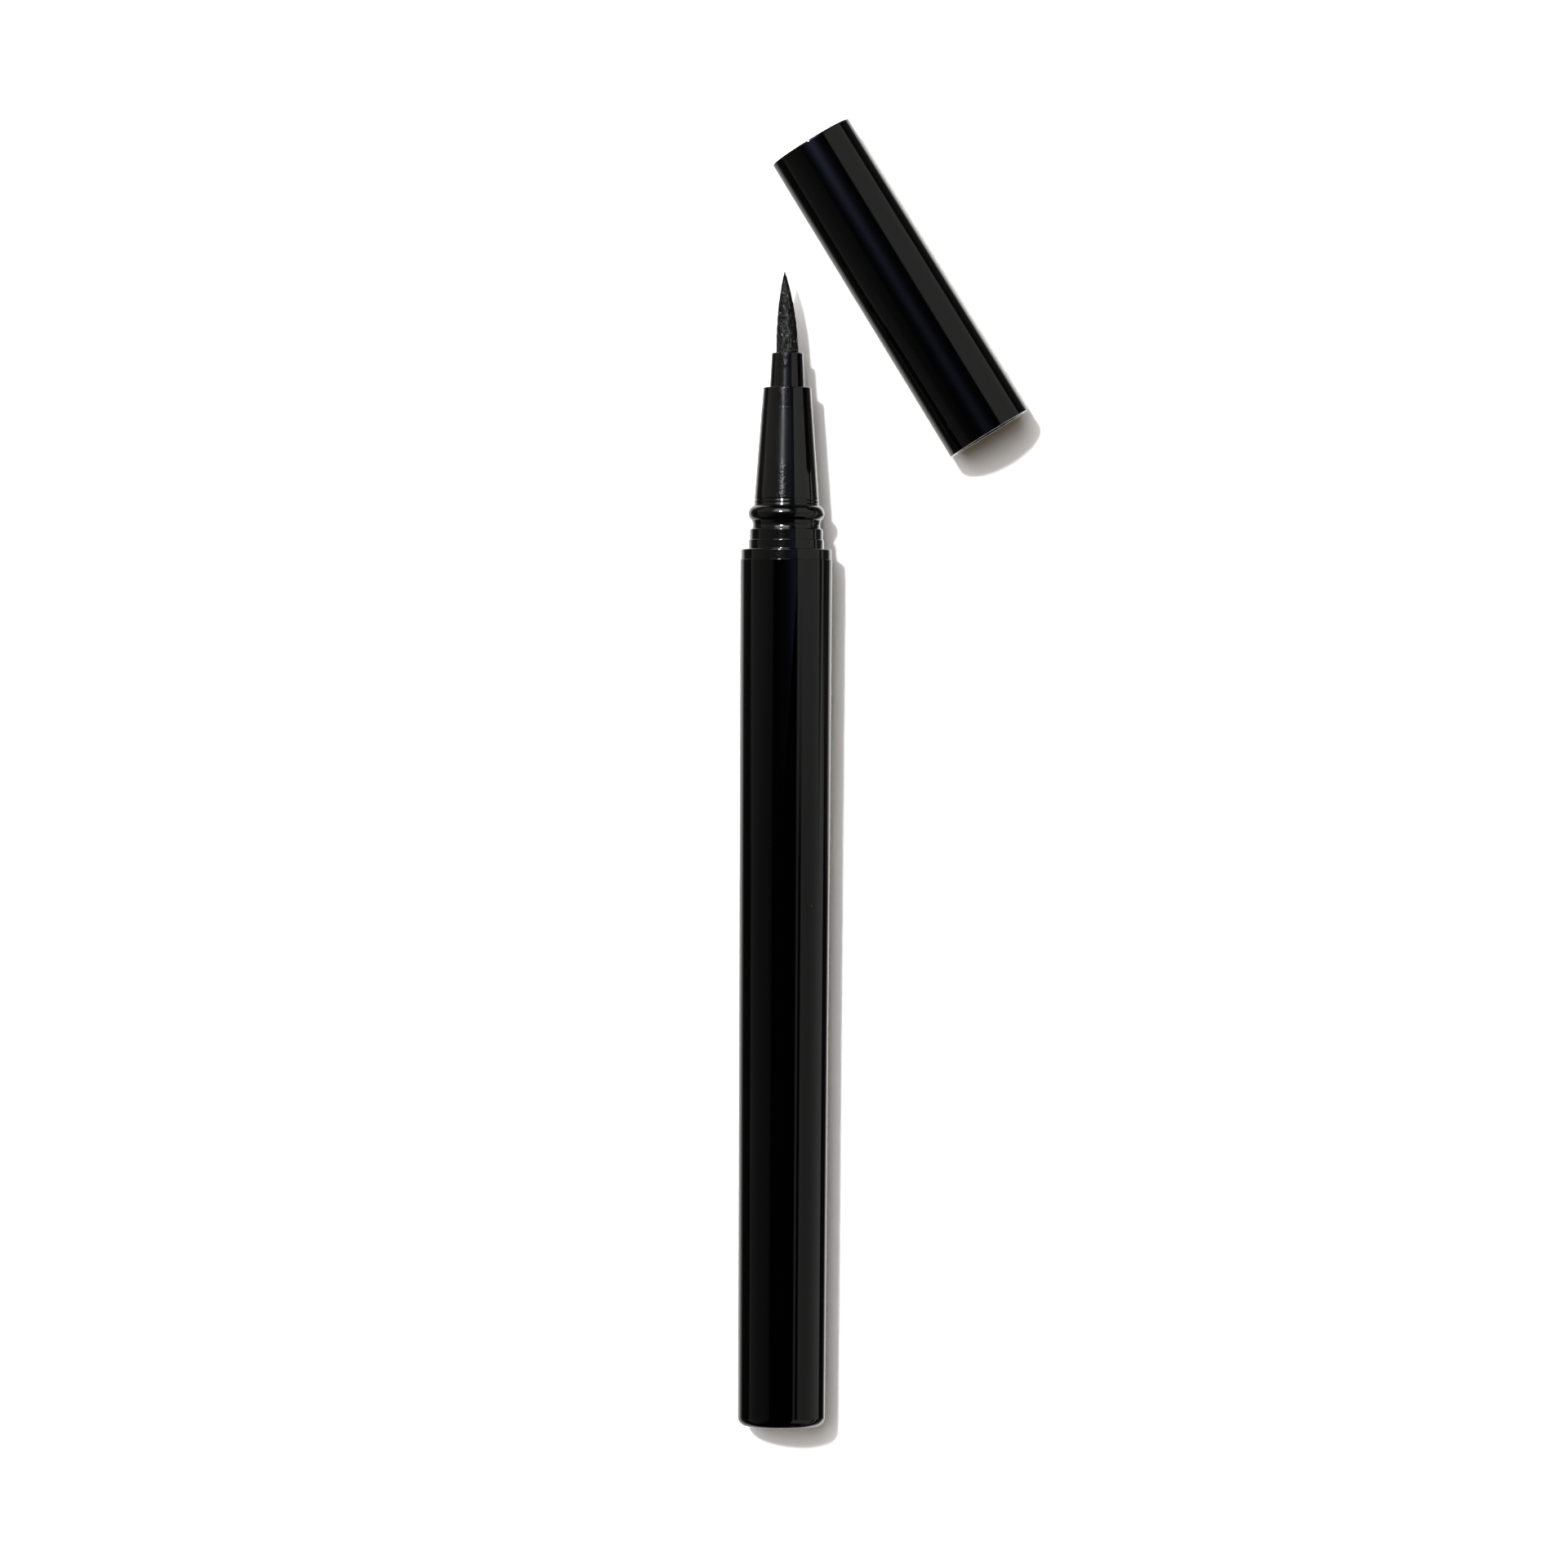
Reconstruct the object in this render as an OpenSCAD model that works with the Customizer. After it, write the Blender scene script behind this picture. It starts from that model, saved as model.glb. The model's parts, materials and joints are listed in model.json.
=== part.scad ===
// Liquid eyeliner pen with a brush tip, lying on a table beside its cap.
// The pen's axis is +Y and its flat tail is the origin; the cap lies askew, ahead and to the right.

/* [Barrel] */
// Length of the barrel, from its flat tail to its open front
barrel_len = 98.1; // [88:0.1:110]
// Outer diameter of the barrel at its open front
barrel_front_d = 10.4; // [10.2:0.01:11]
// Outer diameter of the barrel at its closed tail
barrel_tail_d = 9.84; // [9.5:0.01:10.4]
// Wall of the barrel around the front section's skirt
barrel_wall = 0.95; // [0.8:0.01:1.05]
// Thickness of the barrel's closed tail
tail_wall = 1.6; // [1.2:0.1:3]
// Radius of the round edge at the tail
tail_round = 1.35; // [0.6:0.01:1.5]
// Chamfer on the barrel's front edge
barrel_edge = 0.06; // [0.02:0.01:0.15]

/* [Front section] */
// Length of the skirt that is pushed into the barrel
skirt_len = 18.1; // [15:0.1:22]
// Thickness of the collar ring that stops on the barrel's front
ring_len = 1.15; // [0.8:0.01:2]
// Step from the barrel's front in to the collar ring, on the radius
ring_inset = 0.07; // [0.02:0.01:0.2]
// Diameter of the first step ahead of the collar ring
step_a_d = 8.49; // [8.2:0.01:8.8]
// Length of the first step
step_a_len = 1.11; // [0.8:0.01:1.5]
// Diameter of the second step
step_b_d = 8.27; // [8:0.01:8.4]
// Length of the second step
step_b_len = 1.21; // [0.8:0.01:1.5]
// Diameter of the neck behind the snap bead
neck_d = 7.78; // [7.6:0.01:8]
// Length of the neck
neck_len = 0.92; // [0.7:0.01:1.5]
// Diameter over the snap bead
bead_d = 8.6; // [8.4:0.01:8.8]
// Length of the snap bead
bead_len = 1.67; // [1.4:0.01:2]
// Radius of the bead's rounded section
bead_round = 0.95; // [0.85:0.01:1.1]
// Diameter of the nose cone where it leaves the bead
cone_base_d = 7.4; // [7.2:0.01:7.6]
// Diameter of the nose cone at its front
cone_front_d = 5.42; // [5.2:0.01:6]
// Length of the nose cone
cone_len = 13.44; // [12:0.01:16]
// Width of the shallow groove round the cone's base
groove_w = 0.3; // [0.15:0.01:0.5]
// Depth of that groove
groove_h = 0.06; // [0.02:0.01:0.12]
// Distance of the groove ahead of the snap bead
groove_ahead = 0.4; // [0.3:0.01:0.8]
// Wall of the neck around the collector's chamber
neck_wall = 0.8; // [0.7:0.01:0.95]
// Diameter of the bay behind the nose, which holds the tube holder
bay_d = 4.96; // [4.6:0.01:5.1]
// Length of the bore through the nose, ahead of the bay
nose_bore_len = 7.1; // [6:0.1:8]
// Round edges of the collar ring, steps and nose
front_edge = 0.12; // [0.05:0.01:0.2]

/* [Tip holder] */
// Diameter of the tip holder where it leaves the nose
holder_base_d = 3.93; // [3.7:0.01:4.1]
// Diameter of the tip holder at its front
holder_front_d = 3.54; // [3.3:0.01:3.7]
// Length of the tip holder ahead of the nose
holder_len = 3.9; // [3:0.1:5]
// Thickness of the flange that stops behind the nose bore
holder_flange_len = 1.2; // [0.8:0.1:1.5]
// Distance from the nose bore's shoulder forward to the seat of the brush flange
brush_seat_len = 2.4; // [1.5:0.1:3]
// Round edge at the tip holder's front
holder_edge = 0.1; // [0.04:0.01:0.18]

/* [Brush] */
// Diameter of the brush
brush_d = 2.56; // [2.4:0.01:2.7]
// Length of the bristles ahead of the tip holder
brush_len = 9.3; // [7:0.1:12]
// Sideways lean of the brush's point
brush_lean = 0.35; // [0:0.05:0.6]
// Number of bristle strands
strand_count = 320; // [300:1:340]
// Diameter of a strand at its root
strand_d = 0.09; // [0.06:0.01:0.09]
// Distance by which the outermost strands end short of the point
strand_stagger = 0.9; // [0.4:0.1:1.5]
// Thickness of the slice of fused root that carries the strands
slice_len = 0.4; // [0.3:0.1:0.8]
// Depth of the slice's front behind the tip holder's front
slice_recess = 0.1; // [0:0.05:0.3]
// Step from the brush out to the root's flange, on the radius
root_flange_step = 0.24; // [0.15:0.01:0.3]
// Thickness of the root's flange
root_flange_len = 1; // [0.6:0.1:1.4]

/* [Feed] */
// Outer diameter of the feed tube that carries ink into the brush
tube_d = 0.8; // [0.6:0.01:1]
// Bore of the feed tube
tube_bore_d = 0.4; // [0.3:0.01:0.5]
// Length of the feed tube ahead of the brush flange's seat
tube_reach = 6.6; // [4:0.1:7]
// Diameter of the fibre feed core
core_d = 1.6; // [1.4:0.01:1.8]
// Depth of the feed core's socket in the tube holder
core_socket_len = 4; // [3:0.1:4.4]
// Length by which the feed core stands into the ink behind the tank plug
core_reach = 1; // [0.5:0.1:3]
// Wall of the collector's centre tube
collector_wall = 0.5; // [0.3:0.01:0.6]
// Gap between the collector's fins and the chamber, on the radius
fin_gap = 0.09; // [0.04:0.01:0.15]
// Thickness of a collector fin
fin_len = 0.35; // [0.2:0.01:0.45]
// Distance from one fin to the next
fin_pitch = 0.8; // [0.7:0.01:1.2]
// Thickness of the plain discs at the collector's ends
land_len = 1; // [0.6:0.1:1.5]
// Width of the ink slit along the collector
slit_w = 0.3; // [0.2:0.01:0.4]
// Width of the air notch along the collector's fins
notch_w = 0.9; // [0.5:0.1:1.2]

/* [Ink tank] */
// Outer diameter of the ink tank
tank_d = 7.6; // [7.2:0.01:7.7]
// Wall of the ink tank
tank_wall = 0.6; // [0.5:0.01:0.7]
// Thickness of the ink tank's closed end
tank_end_wall = 0.8; // [0.6:0.1:1.5]
// Thickness of the tank plug's flange
plug_flange_len = 1; // [0.7:0.1:1.5]
// Length of the plug's spigot in the collector's chamber
plug_spigot_len = 3; // [2:0.1:4]
// Length of the plug inside the tank
plug_reach = 5; // [4:0.1:7]
// Thickness of the rubber ring in the plug's groove
seal_d = 0.8; // [0.6:0.01:0.9]
// Distance from the tank's rim back to the middle of the rubber ring
seal_depth = 2.4; // [2:0.1:2.6]
// Diameter of the steel mixing ball
ball_d = 4; // [3:0.1:4.5]
// Place of the mixing ball along the pen when the pen lies at rest
ball_rest_y = 12; // [10:0.5:40]

/* [Cap] */
// Outer diameter of the cap at its mouth
cap_mouth_d = 10.3; // [10.1:0.01:10.6]
// Outer diameter of the cap at its closed end
cap_end_d = 10; // [9.8:0.01:10.3]
// Thickness of the cap's closed end
cap_end_wall = 1.2; // [0.8:0.1:2]
// Free length between the brush's point and the inner cap's floor when the cap is on
cap_tip_room = 5.38; // [2:0.01:8]
// Round edge at the cap's closed end
cap_end_edge = 0.16; // [0.05:0.01:0.4]
// Chamfer inside the cap's mouth
cap_mouth_lead = 0.2; // [0.1:0.01:0.3]
// Height of the snap rib inside the cap
snap_rib_h = 0.15; // [0.08:0.01:0.2]
// Step from the cap's bore in to the bay that holds the inner cap, on the radius
liner_step = 0.2; // [0.17:0.01:0.22]
// Depth of the inner cap's lip behind that step
liner_recess = 0.1; // [0.05:0.01:0.3]
// Thickness of the inner cap's closed end
liner_end_wall = 0.6; // [0.4:0.1:1]
// Gap along the axis between the snap bead and the inner cap's lip
liner_lead = 0.2; // [0.1:0.01:0.5]
// Chamfer inside the inner cap's lip
liner_edge = 0.15; // [0.05:0.01:0.2]

/* [Cap on the table] */
// Place of the cap's mouth to the right of the pen's axis
cap_rest_x = 22.94; // [18:0.01:40]
// Distance of the cap's mouth ahead of the collar ring, along the pen's axis
cap_rest_ahead = 13.33; // [5:0.01:25]
// Angle of the cap's axis to the pen's, in degrees
cap_swing = 31.91; // [25:0.01:38]

/* [Fits] */
// Gap between mouldings that are pushed together, on the radius
fit_gap = 0.03; // [0.02:0.01:0.05]
// Gap between the cap and what it slides over, on the radius
slide_gap = 0.05; // [0.04:0.01:0.08]
// Gap between the mixing ball and the tank's wall
ball_gap = 0.05; // [0.03:0.01:0.1]
// Free length left before and behind the mixing ball's travel
ball_stop_gap = 0.3; // [0.2:0.1:1]

/* [Hidden] */
$fn = 96;
// Overrun of every cut
cut = 1;
// Least wall of the cap round its bore, which makes the cap grow with what it has to pass over
cap_least_wall = 0.7;
// Share of the brush's length, from its point, over which it widens
brush_full_share = 0.95;
// Power that makes the brush's point full
brush_power = 0.9;
// Places of the strands' rings, as shares of their length from the root
ring_shares = [0.34, 0.62, 0.85];
// Sides of a strand
strand_sides = 3;
// Turn from one strand to the next, in degrees, which spreads them evenly
golden_turn = 137.508;
// Number of steps in a rounded edge
round_steps = 6;

// Places along the pen's axis
ring_y = barrel_len + ring_len;
step_a_y = ring_y + step_a_len;
step_b_y = step_a_y + step_b_len;
neck_y = step_b_y + neck_len;
bead_y = neck_y + bead_len;
nose_y = bead_y + cone_len;
holder_y = nose_y + holder_len;
brush_y = holder_y + brush_len;
skirt_y = barrel_len - skirt_len;
shoulder_y = nose_y - nose_bore_len;
holder_back_y = shoulder_y - holder_flange_len;
brush_seat_y = shoulder_y + brush_seat_len;
root_back_y = brush_seat_y - root_flange_len;
slice_y = holder_y - slice_recess - slice_len;
core_front_y = bead_y + core_socket_len;
plug_front_y = skirt_y + plug_spigot_len;
tank_y = skirt_y - plug_flange_len;
plug_back_y = tank_y - plug_reach;
core_back_y = plug_back_y - core_reach;
seal_y = tank_y - seal_depth;
tank_floor_y = tail_wall + tank_end_wall;

// Diameters that follow from what fits in what
front_bore_d = barrel_front_d - 2 * barrel_wall;
skirt_d = front_bore_d - 2 * fit_gap;
ring_d = barrel_front_d - 2 * ring_inset;
tank_bay_d = tank_d + 2 * fit_gap;
tank_bore_d = tank_d - 2 * tank_wall;
chamber_d = neck_d - 2 * neck_wall;
nose_bore_d = holder_base_d + 2 * fit_gap;
bay_fit_d = bay_d - 2 * fit_gap;
brush_bore_d = brush_d + 2 * fit_gap;
root_flange_d = brush_d + 2 * root_flange_step;
root_bay_d = root_flange_d + 2 * fit_gap;
tube_bay_d = tube_d + 2 * fit_gap;
core_bay_d = core_d + 2 * fit_gap;
collector_tube_d = core_bay_d + 2 * collector_wall;
fin_d = chamber_d - 2 * fin_gap;
plug_spigot_d = chamber_d - 2 * fit_gap;
plug_d = tank_bore_d - 2 * fit_gap;
seal_ring_r = tank_bore_d / 2 - fit_gap - seal_d / 2;
seal_groove_r = seal_ring_r - seal_d / 2 - fit_gap;
// The inner cap's wall is never thinner than the step that it sits behind
liner_need_d = cone_base_d + 2 * (2 * liner_step + fit_gap);
cap_bore_d = max(bead_d, step_a_d, step_b_d, liner_need_d) + 2 * slide_gap;
cap_out_d = max(cap_mouth_d, cap_bore_d + 2 * cap_least_wall);
cap_end_out_d = cap_out_d - cap_mouth_d + cap_end_d;
liner_bay_d = cap_bore_d - 2 * liner_step;
liner_d = liner_bay_d - 2 * fit_gap;
liner_bore_d = cone_base_d + 2 * slide_gap;

// Places along the cap's axis, from its mouth to its closed end
nose_reach = brush_y - ring_y;
liner_z = bead_y - ring_y + liner_lead;
liner_bay_z = liner_z - liner_recess;
liner_floor_z = nose_reach + cap_tip_room;
cap_floor_z = liner_floor_z + liner_end_wall;
cap_len = cap_floor_z + cap_end_wall;
snap_z = (step_b_y + neck_y) / 2 - ring_y;
cap_rest_y = ring_y + cap_rest_ahead;
cap_rest_z = (cap_out_d - barrel_front_d) / 2;

// Height of the ball's middle, so that it lies on the tank's lower wall
ball_rest_z = (ball_d - tank_bore_d) / 2 + ball_gap;
ball_back_y = tank_floor_y + ball_d / 2 + ball_stop_gap;
ball_front_y = core_back_y - ball_d / 2 - ball_stop_gap;
echo(ball_travel = [ball_back_y - ball_rest_y, ball_front_y - ball_rest_y]);
echo(cap_travel = nose_reach, cap_len = cap_len, closed_len = ring_y + cap_len);

// A child drawn along Z comes to lie along the pen's axis
module on_pen() {
    rotate([-90, 0, 0])
        children();
}

// A child drawn along Z from the cap's mouth comes to lie where the cap does
module on_cap() {
    translate([cap_rest_x, cap_rest_y, cap_rest_z])
        rotate([0, 0, cap_swing])
            on_pen()
                children();
}

// A straight round bar from one place along Z to another
module bar(d, from, to) {
    translate([0, 0, from])
        cylinder(d = d, h = to - from);
}

// A straight hole that runs past both ends of what it goes through
module through(d, from, to) {
    bar(d, from - cut, to + cut);
}

// Quarter circle of radius r on an outer corner at [x, z], where up is 1 at a top end and -1 at a bottom end
function round_corner(x, z, r, up) =
    [for (k = [0 : round_steps])
        let (a = up > 0 ? 90 * k / round_steps : 90 - 90 * k / round_steps)
        [x - r + r * cos(a), z + up * (r * sin(a) - r)]];

// Glossy barrel with a closed tail, a long bay for the tank and a wider front for the skirt
module barrel() {
    color("#101010")
        on_pen()
            rotate_extrude()
                polygon(concat(
                    [[0, 0]],
                    round_corner(barrel_tail_d / 2, 0, tail_round, -1),
                    [
                        [barrel_front_d / 2, barrel_len - barrel_edge],
                        [barrel_front_d / 2 - barrel_edge, barrel_len],
                        [front_bore_d / 2, barrel_len],
                        [front_bore_d / 2, tank_y],
                        [tank_bay_d / 2, tank_y],
                        [tank_bay_d / 2, tail_wall],
                        [0, tail_wall]
                    ]
                ));
}

// Outside of the front section, from the skirt to the nose, without its snap bead
module front_outline() {
    polygon(concat(
        [
            [0, skirt_y],
            [skirt_d / 2, skirt_y],
            [skirt_d / 2, barrel_len],
            [ring_d / 2, barrel_len]
        ],
        round_corner(ring_d / 2, ring_y, front_edge, 1),
        [[step_a_d / 2, ring_y]],
        round_corner(step_a_d / 2, step_a_y, front_edge, 1),
        [[step_b_d / 2, step_a_y]],
        round_corner(step_b_d / 2, step_b_y, front_edge, 1),
        [
            [neck_d / 2, step_b_y],
            [neck_d / 2, neck_y],
            [cone_base_d / 2, bead_y]
        ],
        round_corner(cone_front_d / 2, nose_y, front_edge, 1),
        [[0, nose_y]]
    ));
}

// Inside of the front section: the collector's chamber, the bay and the nose bore
module front_hollow() {
    polygon([
        [-cut, skirt_y - cut],
        [chamber_d / 2, skirt_y - cut],
        [chamber_d / 2, bead_y],
        [bay_d / 2, bead_y],
        [bay_d / 2, shoulder_y],
        [nose_bore_d / 2, shoulder_y],
        [nose_bore_d / 2, nose_y + cut],
        [-cut, nose_y + cut]
    ]);
}

// Radius of the nose cone at a distance from its base
function cone_r(ahead) = (cone_base_d + (cone_front_d - cone_base_d) * ahead / cone_len) / 2;

// Cutter for the groove round the cone's base
module groove() {
    middle = groove_ahead + groove_w / 2;
    translate([cone_r(middle), bead_y + middle])
        square([2 * groove_h, groove_w], center = true);
}

// One moulding: skirt, collar ring, two steps, neck, snap bead and nose cone
module front_section() {
    color("#161616")
        on_pen()
            rotate_extrude()
                difference() {
                    union() {
                        front_outline();
                        translate([bead_d / 2 - bead_round, (neck_y + bead_y) / 2])
                            circle(r = bead_round);
                    }
                    front_hollow();
                    groove();
                }
}

// Tapered holder that carries the brush, stopped by its flange behind the nose bore
module tip_holder() {
    color("#141414")
        on_pen()
            difference() {
                rotate_extrude()
                    polygon(concat(
                        [
                            [0, holder_back_y],
                            [bay_fit_d / 2, holder_back_y],
                            [bay_fit_d / 2, shoulder_y],
                            [holder_base_d / 2, shoulder_y],
                            [holder_base_d / 2, nose_y]
                        ],
                        round_corner(holder_front_d / 2, holder_y, holder_edge, 1),
                        [[0, holder_y]]
                    ));
                through(brush_bore_d, holder_back_y, holder_y);
                bar(root_bay_d, holder_back_y - cut, brush_seat_y);
            }
}

// Radius of the brush at a distance t from its point
function brush_r(t) =
    let (share = min(1, t / (brush_len * brush_full_share)))
    brush_d / 2 * sin(90 * pow(share, brush_power));

// Place of strand i across the brush, as a share of the brush's radius
function seat_share(i) = sqrt((i + 0.5) / strand_count);

// Distance from the brush's point at which strand i ends
function strand_end(i) = strand_stagger * seat_share(i);

// Distance from the brush's point to a place on strand i, at a share of its length from the root
function strand_t(i, share) = brush_len + (strand_end(i) - brush_len) * share;

// Middle of strand i at a distance t from the brush's point
function strand_middle(i, t) =
    let (
        full_r = (brush_d - strand_d) / 2,
        r = seat_share(i) * full_r * brush_r(t) / brush_r(brush_len),
        lean = brush_lean * pow(1 - t / brush_len, 2)
    )
    [r * cos(golden_turn * i) - lean, r * sin(golden_turn * i), brush_y - t];

// Corners of strand i around its middle at a distance t from the brush's point
function strand_ring(i, t, back = 0) =
    let (
        m = strand_middle(i, t),
        r = strand_d / 2 * brush_r(t) / brush_r(brush_len)
    )
    [for (k = [0 : strand_sides - 1])
        let (a = golden_turn * i + 360 * k / strand_sides)
        [m[0] + r * cos(a), m[1] + r * sin(a), m[2] - back]];

// All corners of strand i: a ring inside the slice, the rings along it, and its point
function strand_points(i) = concat(
    strand_ring(i, brush_len, slice_recess + slice_len / 2),
    [for (share = ring_shares) each strand_ring(i, strand_t(i, share))],
    [strand_middle(i, strand_end(i))]
);

// Triangles of a strand whose first corner has the number n
function strand_faces(n) =
    let (rings = len(ring_shares) + 1, s = strand_sides)
    concat(
        [[for (k = [0 : s - 1]) n + k]],
        [for (j = [0 : rings - 2], k = [0 : s - 1])
            let (a = n + j * s + k, b = n + j * s + (k + 1) % s)
            each [[a, a + s, b], [b, a + s, b + s]]],
        [for (k = [0 : s - 1])
            [n + (rings - 1) * s + k, n + rings * s, n + (rings - 1) * s + (k + 1) % s]]
    );

// Least gap between strands at their roots, which shrinks in step with the brush towards its point
function root_gap(i, j) =
    let (a = strand_middle(i, brush_len), b = strand_middle(j, brush_len))
    norm(a - b) - strand_d;
least_gap = min([
    for (i = [1 : strand_count - 1], j = [max(0, i - 60) : i - 1]) root_gap(i, j)
]);
echo(strands = strand_count, least_gap = least_gap);

// Bundle of bristles that closes to a point, fused to a slice of its root
module brush_bristles() {
    corners = strand_sides * (len(ring_shares) + 1) + 1;
    color("#0c0c0c")
        on_pen() {
            polyhedron(
                points = [for (i = [0 : strand_count - 1]) each strand_points(i)],
                faces = [for (i = [0 : strand_count - 1]) each strand_faces(i * corners)]
            );
            bar(brush_d, slice_y, slice_y + slice_len);
        }
}

// Fused root of the brush with its flange, bored from behind for the feed tube
module brush_root() {
    color("#1c1c1c")
        on_pen()
            difference() {
                union() {
                    bar(brush_d, brush_seat_y, slice_y);
                    bar(root_flange_d, root_back_y, brush_seat_y);
                }
                bar(tube_bay_d, root_back_y - cut, brush_seat_y + tube_reach);
            }
}

// Thin tube that carries ink from the feed core into the middle of the brush
module feed_tube() {
    color("#c9c9c4")
        on_pen()
            difference() {
                bar(tube_d, core_front_y, brush_seat_y + tube_reach);
                through(tube_bore_d, core_front_y, brush_seat_y + tube_reach);
            }
}

// Plug that fills the bay, holds the feed tube and presses the brush's flange on its seat
module tube_holder() {
    color("#e2e2dc")
        on_pen()
            difference() {
                union() {
                    bar(bay_fit_d, bead_y, holder_back_y);
                    bar(root_flange_d, holder_back_y, root_back_y);
                }
                through(tube_bay_d, bead_y, root_back_y);
                bar(core_bay_d, bead_y - cut, core_front_y);
            }
}

// Porous fibre core that draws ink from the tank to the feed tube
module feed_core() {
    color("#3a3a3c")
        on_pen()
            bar(core_d, core_back_y, core_front_y);
}

// Number of fins that fit between the collector's plain ends
fin_count = floor((bead_y - plug_front_y - 2 * land_len) / fin_pitch);

// Comb of fins that holds back ink when the tank warms, with an ink slit and an air notch
module collector() {
    comb_y = plug_front_y + land_len;
    color("#d8d8d0")
        on_pen()
            difference() {
                union() {
                    bar(collector_tube_d, plug_front_y, bead_y);
                    bar(fin_d, plug_front_y, comb_y);
                    bar(fin_d, bead_y - land_len, bead_y);
                    for (k = [1 : fin_count - 1])
                        bar(fin_d, comb_y + k * fin_pitch - fin_len, comb_y + k * fin_pitch);
                }
                through(core_bay_d, plug_front_y, bead_y);
                translate([-slit_w / 2, 0, comb_y])
                    cube([slit_w, fin_d, bead_y - land_len - comb_y]);
                translate([-notch_w / 2, -fin_d, plug_front_y - cut])
                    cube([notch_w, fin_d - collector_tube_d / 2, bead_y - plug_front_y + 2 * cut]);
            }
}

// Plug between the skirt and the tank, with a groove for the rubber ring
module tank_plug() {
    color("#cfcfc8")
        on_pen()
            difference() {
                union() {
                    bar(plug_spigot_d, skirt_y, plug_front_y);
                    bar(skirt_d, tank_y, skirt_y);
                    bar(plug_d, plug_back_y, tank_y);
                }
                through(core_bay_d, plug_back_y, plug_front_y);
                translate([0, 0, seal_y - seal_d / 2 - fit_gap])
                    difference() {
                        cylinder(d = plug_d + cut, h = seal_d + 2 * fit_gap);
                        translate([0, 0, -cut])
                            cylinder(r = seal_groove_r, h = seal_d + 2 * cut);
                    }
            }
}

// Rubber ring that seals the tank
module plug_seal() {
    color("#2a2a2a")
        on_pen()
            translate([0, 0, seal_y])
                rotate_extrude()
                    translate([seal_ring_r, 0])
                        circle(d = seal_d);
}

// Thin tank that holds the ink, closed at the tail end
module ink_tank() {
    color("#e8e6de")
        on_pen()
            difference() {
                bar(tank_d, tail_wall, tank_y);
                bar(tank_bore_d, tank_floor_y, tank_y + cut);
            }
}

// Loose steel ball that stirs the ink when the pen is shaken
module mixing_ball() {
    color("#b8b8bc")
        translate([0, ball_rest_y, ball_rest_z])
            sphere(d = ball_d);
}

// Outer cap with its snap rib
module cap_shell() {
    color("#0e0e0e")
        on_cap()
            rotate_extrude()
                union() {
                    polygon(concat(
                        [
                            [0, cap_floor_z],
                            [liner_bay_d / 2, cap_floor_z],
                            [liner_bay_d / 2, liner_bay_z],
                            [cap_bore_d / 2, liner_bay_z],
                            [cap_bore_d / 2, cap_mouth_lead],
                            [cap_bore_d / 2 + cap_mouth_lead, 0],
                            [cap_out_d / 2, 0]
                        ],
                        round_corner(cap_end_out_d / 2, cap_len, cap_end_edge, 1),
                        [[0, cap_len]]
                    ));
                    translate([cap_bore_d / 2, snap_z])
                        circle(r = snap_rib_h);
                }
}

// Inner cap whose lip closes round the base of the nose cone, so that the brush stays wet
module inner_cap() {
    color("#26262a")
        on_cap()
            rotate_extrude()
                polygon([
                    [0, liner_floor_z],
                    [liner_bore_d / 2, liner_floor_z],
                    [liner_bore_d / 2, liner_z + liner_edge],
                    [liner_bore_d / 2 + liner_edge, liner_z],
                    [liner_d / 2, liner_z],
                    [liner_d / 2, cap_floor_z],
                    [0, cap_floor_z]
                ]);
}

barrel();
front_section();
tip_holder();
brush_bristles();
brush_root();
feed_tube();
tube_holder();
feed_core();
collector();
tank_plug();
plug_seal();
ink_tank();
mixing_ball();
cap_shell();
inner_cap();
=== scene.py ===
# A liquid eyeliner pen lying beside its cap: the finish of every piece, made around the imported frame.
import json
import math

import bpy
import numpy as np
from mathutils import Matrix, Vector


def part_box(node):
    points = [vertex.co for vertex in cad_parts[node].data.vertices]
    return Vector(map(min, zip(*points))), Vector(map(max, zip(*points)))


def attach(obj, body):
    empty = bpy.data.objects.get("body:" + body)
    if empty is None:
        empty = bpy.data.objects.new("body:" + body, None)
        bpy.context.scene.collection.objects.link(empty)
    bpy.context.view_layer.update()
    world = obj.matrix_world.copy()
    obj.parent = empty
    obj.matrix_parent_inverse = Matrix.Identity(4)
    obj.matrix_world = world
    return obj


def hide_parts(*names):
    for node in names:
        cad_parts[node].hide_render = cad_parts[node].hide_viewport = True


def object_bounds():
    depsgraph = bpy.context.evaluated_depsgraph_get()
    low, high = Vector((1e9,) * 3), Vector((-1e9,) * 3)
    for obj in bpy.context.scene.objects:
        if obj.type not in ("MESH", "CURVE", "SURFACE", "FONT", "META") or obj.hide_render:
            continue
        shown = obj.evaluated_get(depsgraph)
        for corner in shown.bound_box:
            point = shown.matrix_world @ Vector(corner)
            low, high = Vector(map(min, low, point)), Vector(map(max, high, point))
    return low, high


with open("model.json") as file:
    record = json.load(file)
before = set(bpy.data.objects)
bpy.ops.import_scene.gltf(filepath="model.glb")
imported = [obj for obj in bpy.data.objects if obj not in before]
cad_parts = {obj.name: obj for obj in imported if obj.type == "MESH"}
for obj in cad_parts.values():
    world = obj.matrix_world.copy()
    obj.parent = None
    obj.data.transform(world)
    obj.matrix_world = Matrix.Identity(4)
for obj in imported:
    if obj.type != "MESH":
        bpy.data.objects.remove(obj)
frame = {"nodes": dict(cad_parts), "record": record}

mm = 0.001
cadLow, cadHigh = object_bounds()
nodes = frame["nodes"]
mounts = {m["name"]: m for m in frame["record"]["mounts"]}
capMouth = mounts["cap_mouth"]
capWay = -np.array(capMouth["axis"], float)  # from the mouth to the closed end
capSide = np.array([capWay[1], -capWay[0], 0.0])
capTop = np.array([0.0, 0.0, 1.0])
capLead = 0.2  # mm, chamfer inside the mouth
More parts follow.
